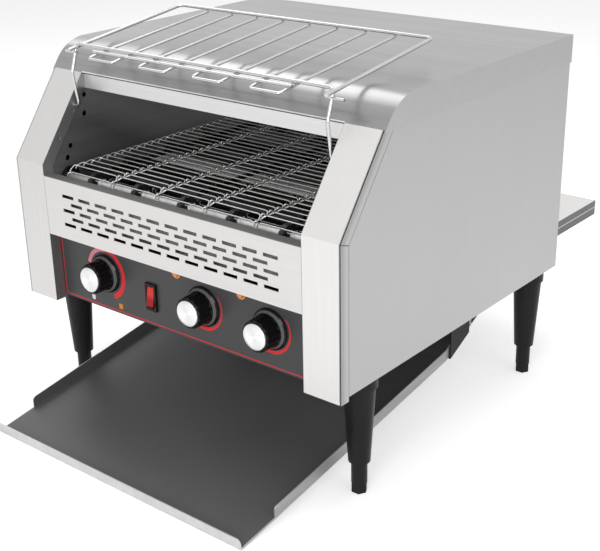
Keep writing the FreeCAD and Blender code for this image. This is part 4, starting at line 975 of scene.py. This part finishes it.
pointer_white = flat_ink("pointer_white", ink_white)
for name in ("speed_knob", "upper_heat_knob", "lower_heat_knob"):
    low, high = np.array(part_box(name))
    cap_low, cap_high = np.array(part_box(name + "_cap"))
    x = (low[0] + high[0]) / 2
    skirt_radius = (high[0] - low[0]) / 2
    cap_radius = (cap_high[0] - cap_low[0]) / 2
    dial_points = knob_surface(x, low[1], panel_front - skirt_gap, skirt_radius)
    dial = grid_piece(name + "_moulding", dial_points, closed_v=True)
    smooth_all(dial)
    dial.data.materials.append(knob_moulding(name + "_gloss", x))
    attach(dial, name)
    cap_points = cap_surface(x, cap_low[1], cap_high[1] + cap_sink, cap_radius)
    cap = grid_piece(name + "_cap_face", cap_points, closed_v=True)
    smooth_all(cap)
    cap.data.materials.append(turned_face(name + "_turned", x))
    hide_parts(name + "_cap")
    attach(cap, name)
    pointer_y = panel_front - np.array(pointer_rise)
    pointer_z = knob_z - grip_radius - np.array(pointer_reach)
    pointer_sides = [np.full(2, x - pointer_half), np.full(2, x + pointer_half)]
    pointer_points = np.stack([np.stack([side, pointer_y, pointer_z], axis=1) for side in pointer_sides])
    pointer = grid_piece(name + "_pointer", pointer_points)
    pointer.data.materials.append(pointer_white)
    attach(pointer, name)
    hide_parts(name)

# Rocker switch and lamps: a black frame clipped in the panel, a translucent red rocker that tips in it,
# and amber lenses over the two neon lamps.
# Painted light: the rocker's upper half is coloured a lighter red than its lower half.
rocker_low = (0.42, 0.003, 0.003, 1.0)
rocker_lit_red = (0.85, 0.03, 0.02, 1.0)
rocker_fade = 0.007
rocker_peel = 600.0
rocker_shine = 0.25
amber_low = (0.7, 0.16, 0.01, 1.0)
amber_high = (0.95, 0.4, 0.05, 1.0)
rocker_bottom, rocker_top = np.array(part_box("power_rocker"))[:, 2]
switch_frame = painted(
    "switch_frame", knob_black, knob_sheen,
    rough=(0.25, 0.35), peel_size=gloss_peel, peel_depth=0.00001, shine=knob_shine)
dress(switch_frame, "rocker_frame")


def rocker_material():
    """Clear red moulding: deep red below, and painted light over its upper half, which is coloured a
    lighter red.
    """
    material, nodes, links, shader = new_material("rocker_red")
    middle = (rocker_bottom + rocker_top) / 2
    lit_upper_half = spans_mask(nodes, links, [span(upward, middle, beyond, rocker_fade)])
    links.new(blend_colour(nodes, links, lit_upper_half, rocker_low, rocker_lit_red), shader.inputs["Base Color"])
    skin = place_group(nodes, cast_skin, Peel_Size=rocker_peel)
    links.new(remap(nodes, links, skin.outputs["Cloud"], low=0.1, high=0.18), shader.inputs["Roughness"])
    shader.inputs["Specular IOR Level"].default_value = rocker_shine
    bump(nodes, links, shader, skin.outputs["Peel"], **gloss_relief)
    return material


dress(rocker_material(), "power_rocker")
amber_lens = painted(
    "amber_lens", amber_low, amber_high, rough=(0.12, 0.2), peel_size=500.0, peel_depth=0.0002, coat=0.5)
dress(amber_lens, "indicator_lamps")

# Electrics under the belt: controls in brown mouldings, a painted gear motor, a black fan,
# a cream terminal block and a black cable gland, all screwed to the compartment's sheets.
case_low = (0.3, 0.22, 0.13, 1.0)
case_high = (0.38, 0.29, 0.18, 1.0)
cream_low = (0.62, 0.6, 0.52, 1.0)
cream_high = (0.72, 0.7, 0.62, 1.0)
matt_low = (0.02, 0.02, 0.02, 1.0)
matt_high = (0.035, 0.035, 0.035, 1.0)
motor_low = (0.09, 0.09, 0.095, 1.0)
motor_high = (0.15, 0.15, 0.155, 1.0)
moulded = dict(peel_size=600.0, peel_depth=0.00005)
control_case = painted("control_case", case_low, case_high, rough=(0.4, 0.55), **moulded)
terminal_cream = painted("terminal_cream", cream_low, cream_high, rough=(0.4, 0.55), **moulded)
matt_moulding = painted("matt_moulding", matt_low, matt_high, rough=(0.45, 0.6), **moulded)
motor_paint = painted(
    "motor_paint", motor_low, motor_high, rough=(0.35, 0.5), peel_size=500.0, peel_depth=0.00008)
dress(control_case, "speed_control", "upper_heat_regulator", "lower_heat_regulator")
dress(terminal_cream, "terminal_block")
dress(matt_moulding, "fan_frame", "fan_rotor", "cable_gland")
dress(motor_paint, "gear_motor")

# Bread rack: bright-drawn stainless wire, bent and resistance welded, its legs sprung into the side holes,
# where it tips up for cleaning.
rack_low = (0.52, 0.52, 0.52, 1.0)
rack_high = (0.66, 0.66, 0.66, 1.0)
dress(sheet_metal("rack_wire", along_x, rack_low, rack_high, rough=(0.1, 0.18)), "bread_rack")

# Exit chute: stainless tray with a dark non-stick film on its upper side, bent up along both sides,
# with a plain steel lip; it hangs on two ledges and pulls forward.
tray_dark = (0.095, 0.095, 0.096, 1.0)
tray_light = (0.115, 0.115, 0.116, 1.0)
# Painted light: the film on the inner flanks is coloured paler than on the floor.
lit_flank_dark = (0.095, 0.095, 0.096, 1.0)
lit_flank_light = (0.125, 0.125, 0.126, 1.0)
flank_steel_dark = (0.33, 0.33, 0.33, 1.0)
flank_steel_light = (0.42, 0.42, 0.42, 1.0)
# Painted highlight: the lip and up-facing rims are coloured brighter than the outer flanks.
chute_highlight_dark = (0.6, 0.6, 0.6, 1.0)
chute_highlight_light = (0.68, 0.68, 0.68, 1.0)
chute_low, chute_high = np.array(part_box("exit_chute"))
sheet_thick = 0.0012
lip_bend = 0.002
facing_in = -0.05
facing_up = 0.5


def tray_material():
    """Dark film where the sheet faces up on the floor; the same film coloured paler on the inner flanks, a
    painted light; ground steel outside; and a painted highlight, a brighter steel tone, on the lip and on
    every face that looks up, such as the rims."""
    material, nodes, links, shader = new_material("chute_sheet")
    skin = place_group(nodes, brushed_grain, **along_y)
    cloud = remap(nodes, links, skin.outputs["Cloud"], low=0.0, high=1.0)
    lines = remap(nodes, links, skin.outputs["Bands"], low=0.0, high=1.0)
    facing = nodes.new("ShaderNodeSeparateXYZ")
    links.new(nodes.new("ShaderNodeNewGeometry").outputs["True Normal"], facing.inputs["Vector"])
    where = nodes.new("ShaderNodeSeparateXYZ")
    links.new(nodes.new("ShaderNodeTexCoord").outputs["Object"], where.inputs["Vector"])
    inward = reckon(nodes, links, "MULTIPLY", facing.outputs["X"], where.outputs["X"])
    faces_in = reckon(nodes, links, "LESS_THAN", inward, facing_in)
    faces_up = reckon(nodes, links, "GREATER_THAN", facing.outputs["Z"], facing_up)
    lip_end = chute_low[1] + 2 * sheet_thick
    floor_spans = [span(sideways, -beyond, chute_high[0] - sheet_thick), span(rearward, lip_end, beyond)]
    on_floor = reckon(nodes, links, "MULTIPLY", faces_up, spans_mask(nodes, links, floor_spans))
    on_lip = spans_mask(nodes, links, [span(rearward, -beyond, lip_end + lip_bend)])
    highlight_tone = blend_colour(nodes, links, lines, chute_highlight_dark, chute_highlight_light)
    painted_light_film = blend_colour(nodes, links, cloud, lit_flank_dark, lit_flank_light)
    dark_film = blend_colour(nodes, links, cloud, tray_dark, tray_light)
    colour = blend_colour(nodes, links, lines, flank_steel_dark, flank_steel_light)
    layers = ((faces_up, highlight_tone), (faces_in, painted_light_film), (on_lip, highlight_tone), (on_floor, dark_film))
    for where_laid, over in layers:
        colour = lay_over(nodes, links, where_laid, colour, over)
    links.new(colour, shader.inputs["Base Color"])
    filmed = reckon(nodes, links, "MAXIMUM", on_floor, faces_in)
    links.new(remap(nodes, links, filmed, low=0.6, high=0.0, start=0.0, end=1.0), shader.inputs["Metallic"])
    links.new(remap(nodes, links, skin.outputs["Cloud"], low=0.42, high=0.5), shader.inputs["Roughness"])
    bump(nodes, links, shader, skin.outputs["Lines"], strength=0.2, distance=0.00001)
    return material


dress(tray_material(), "exit_chute")
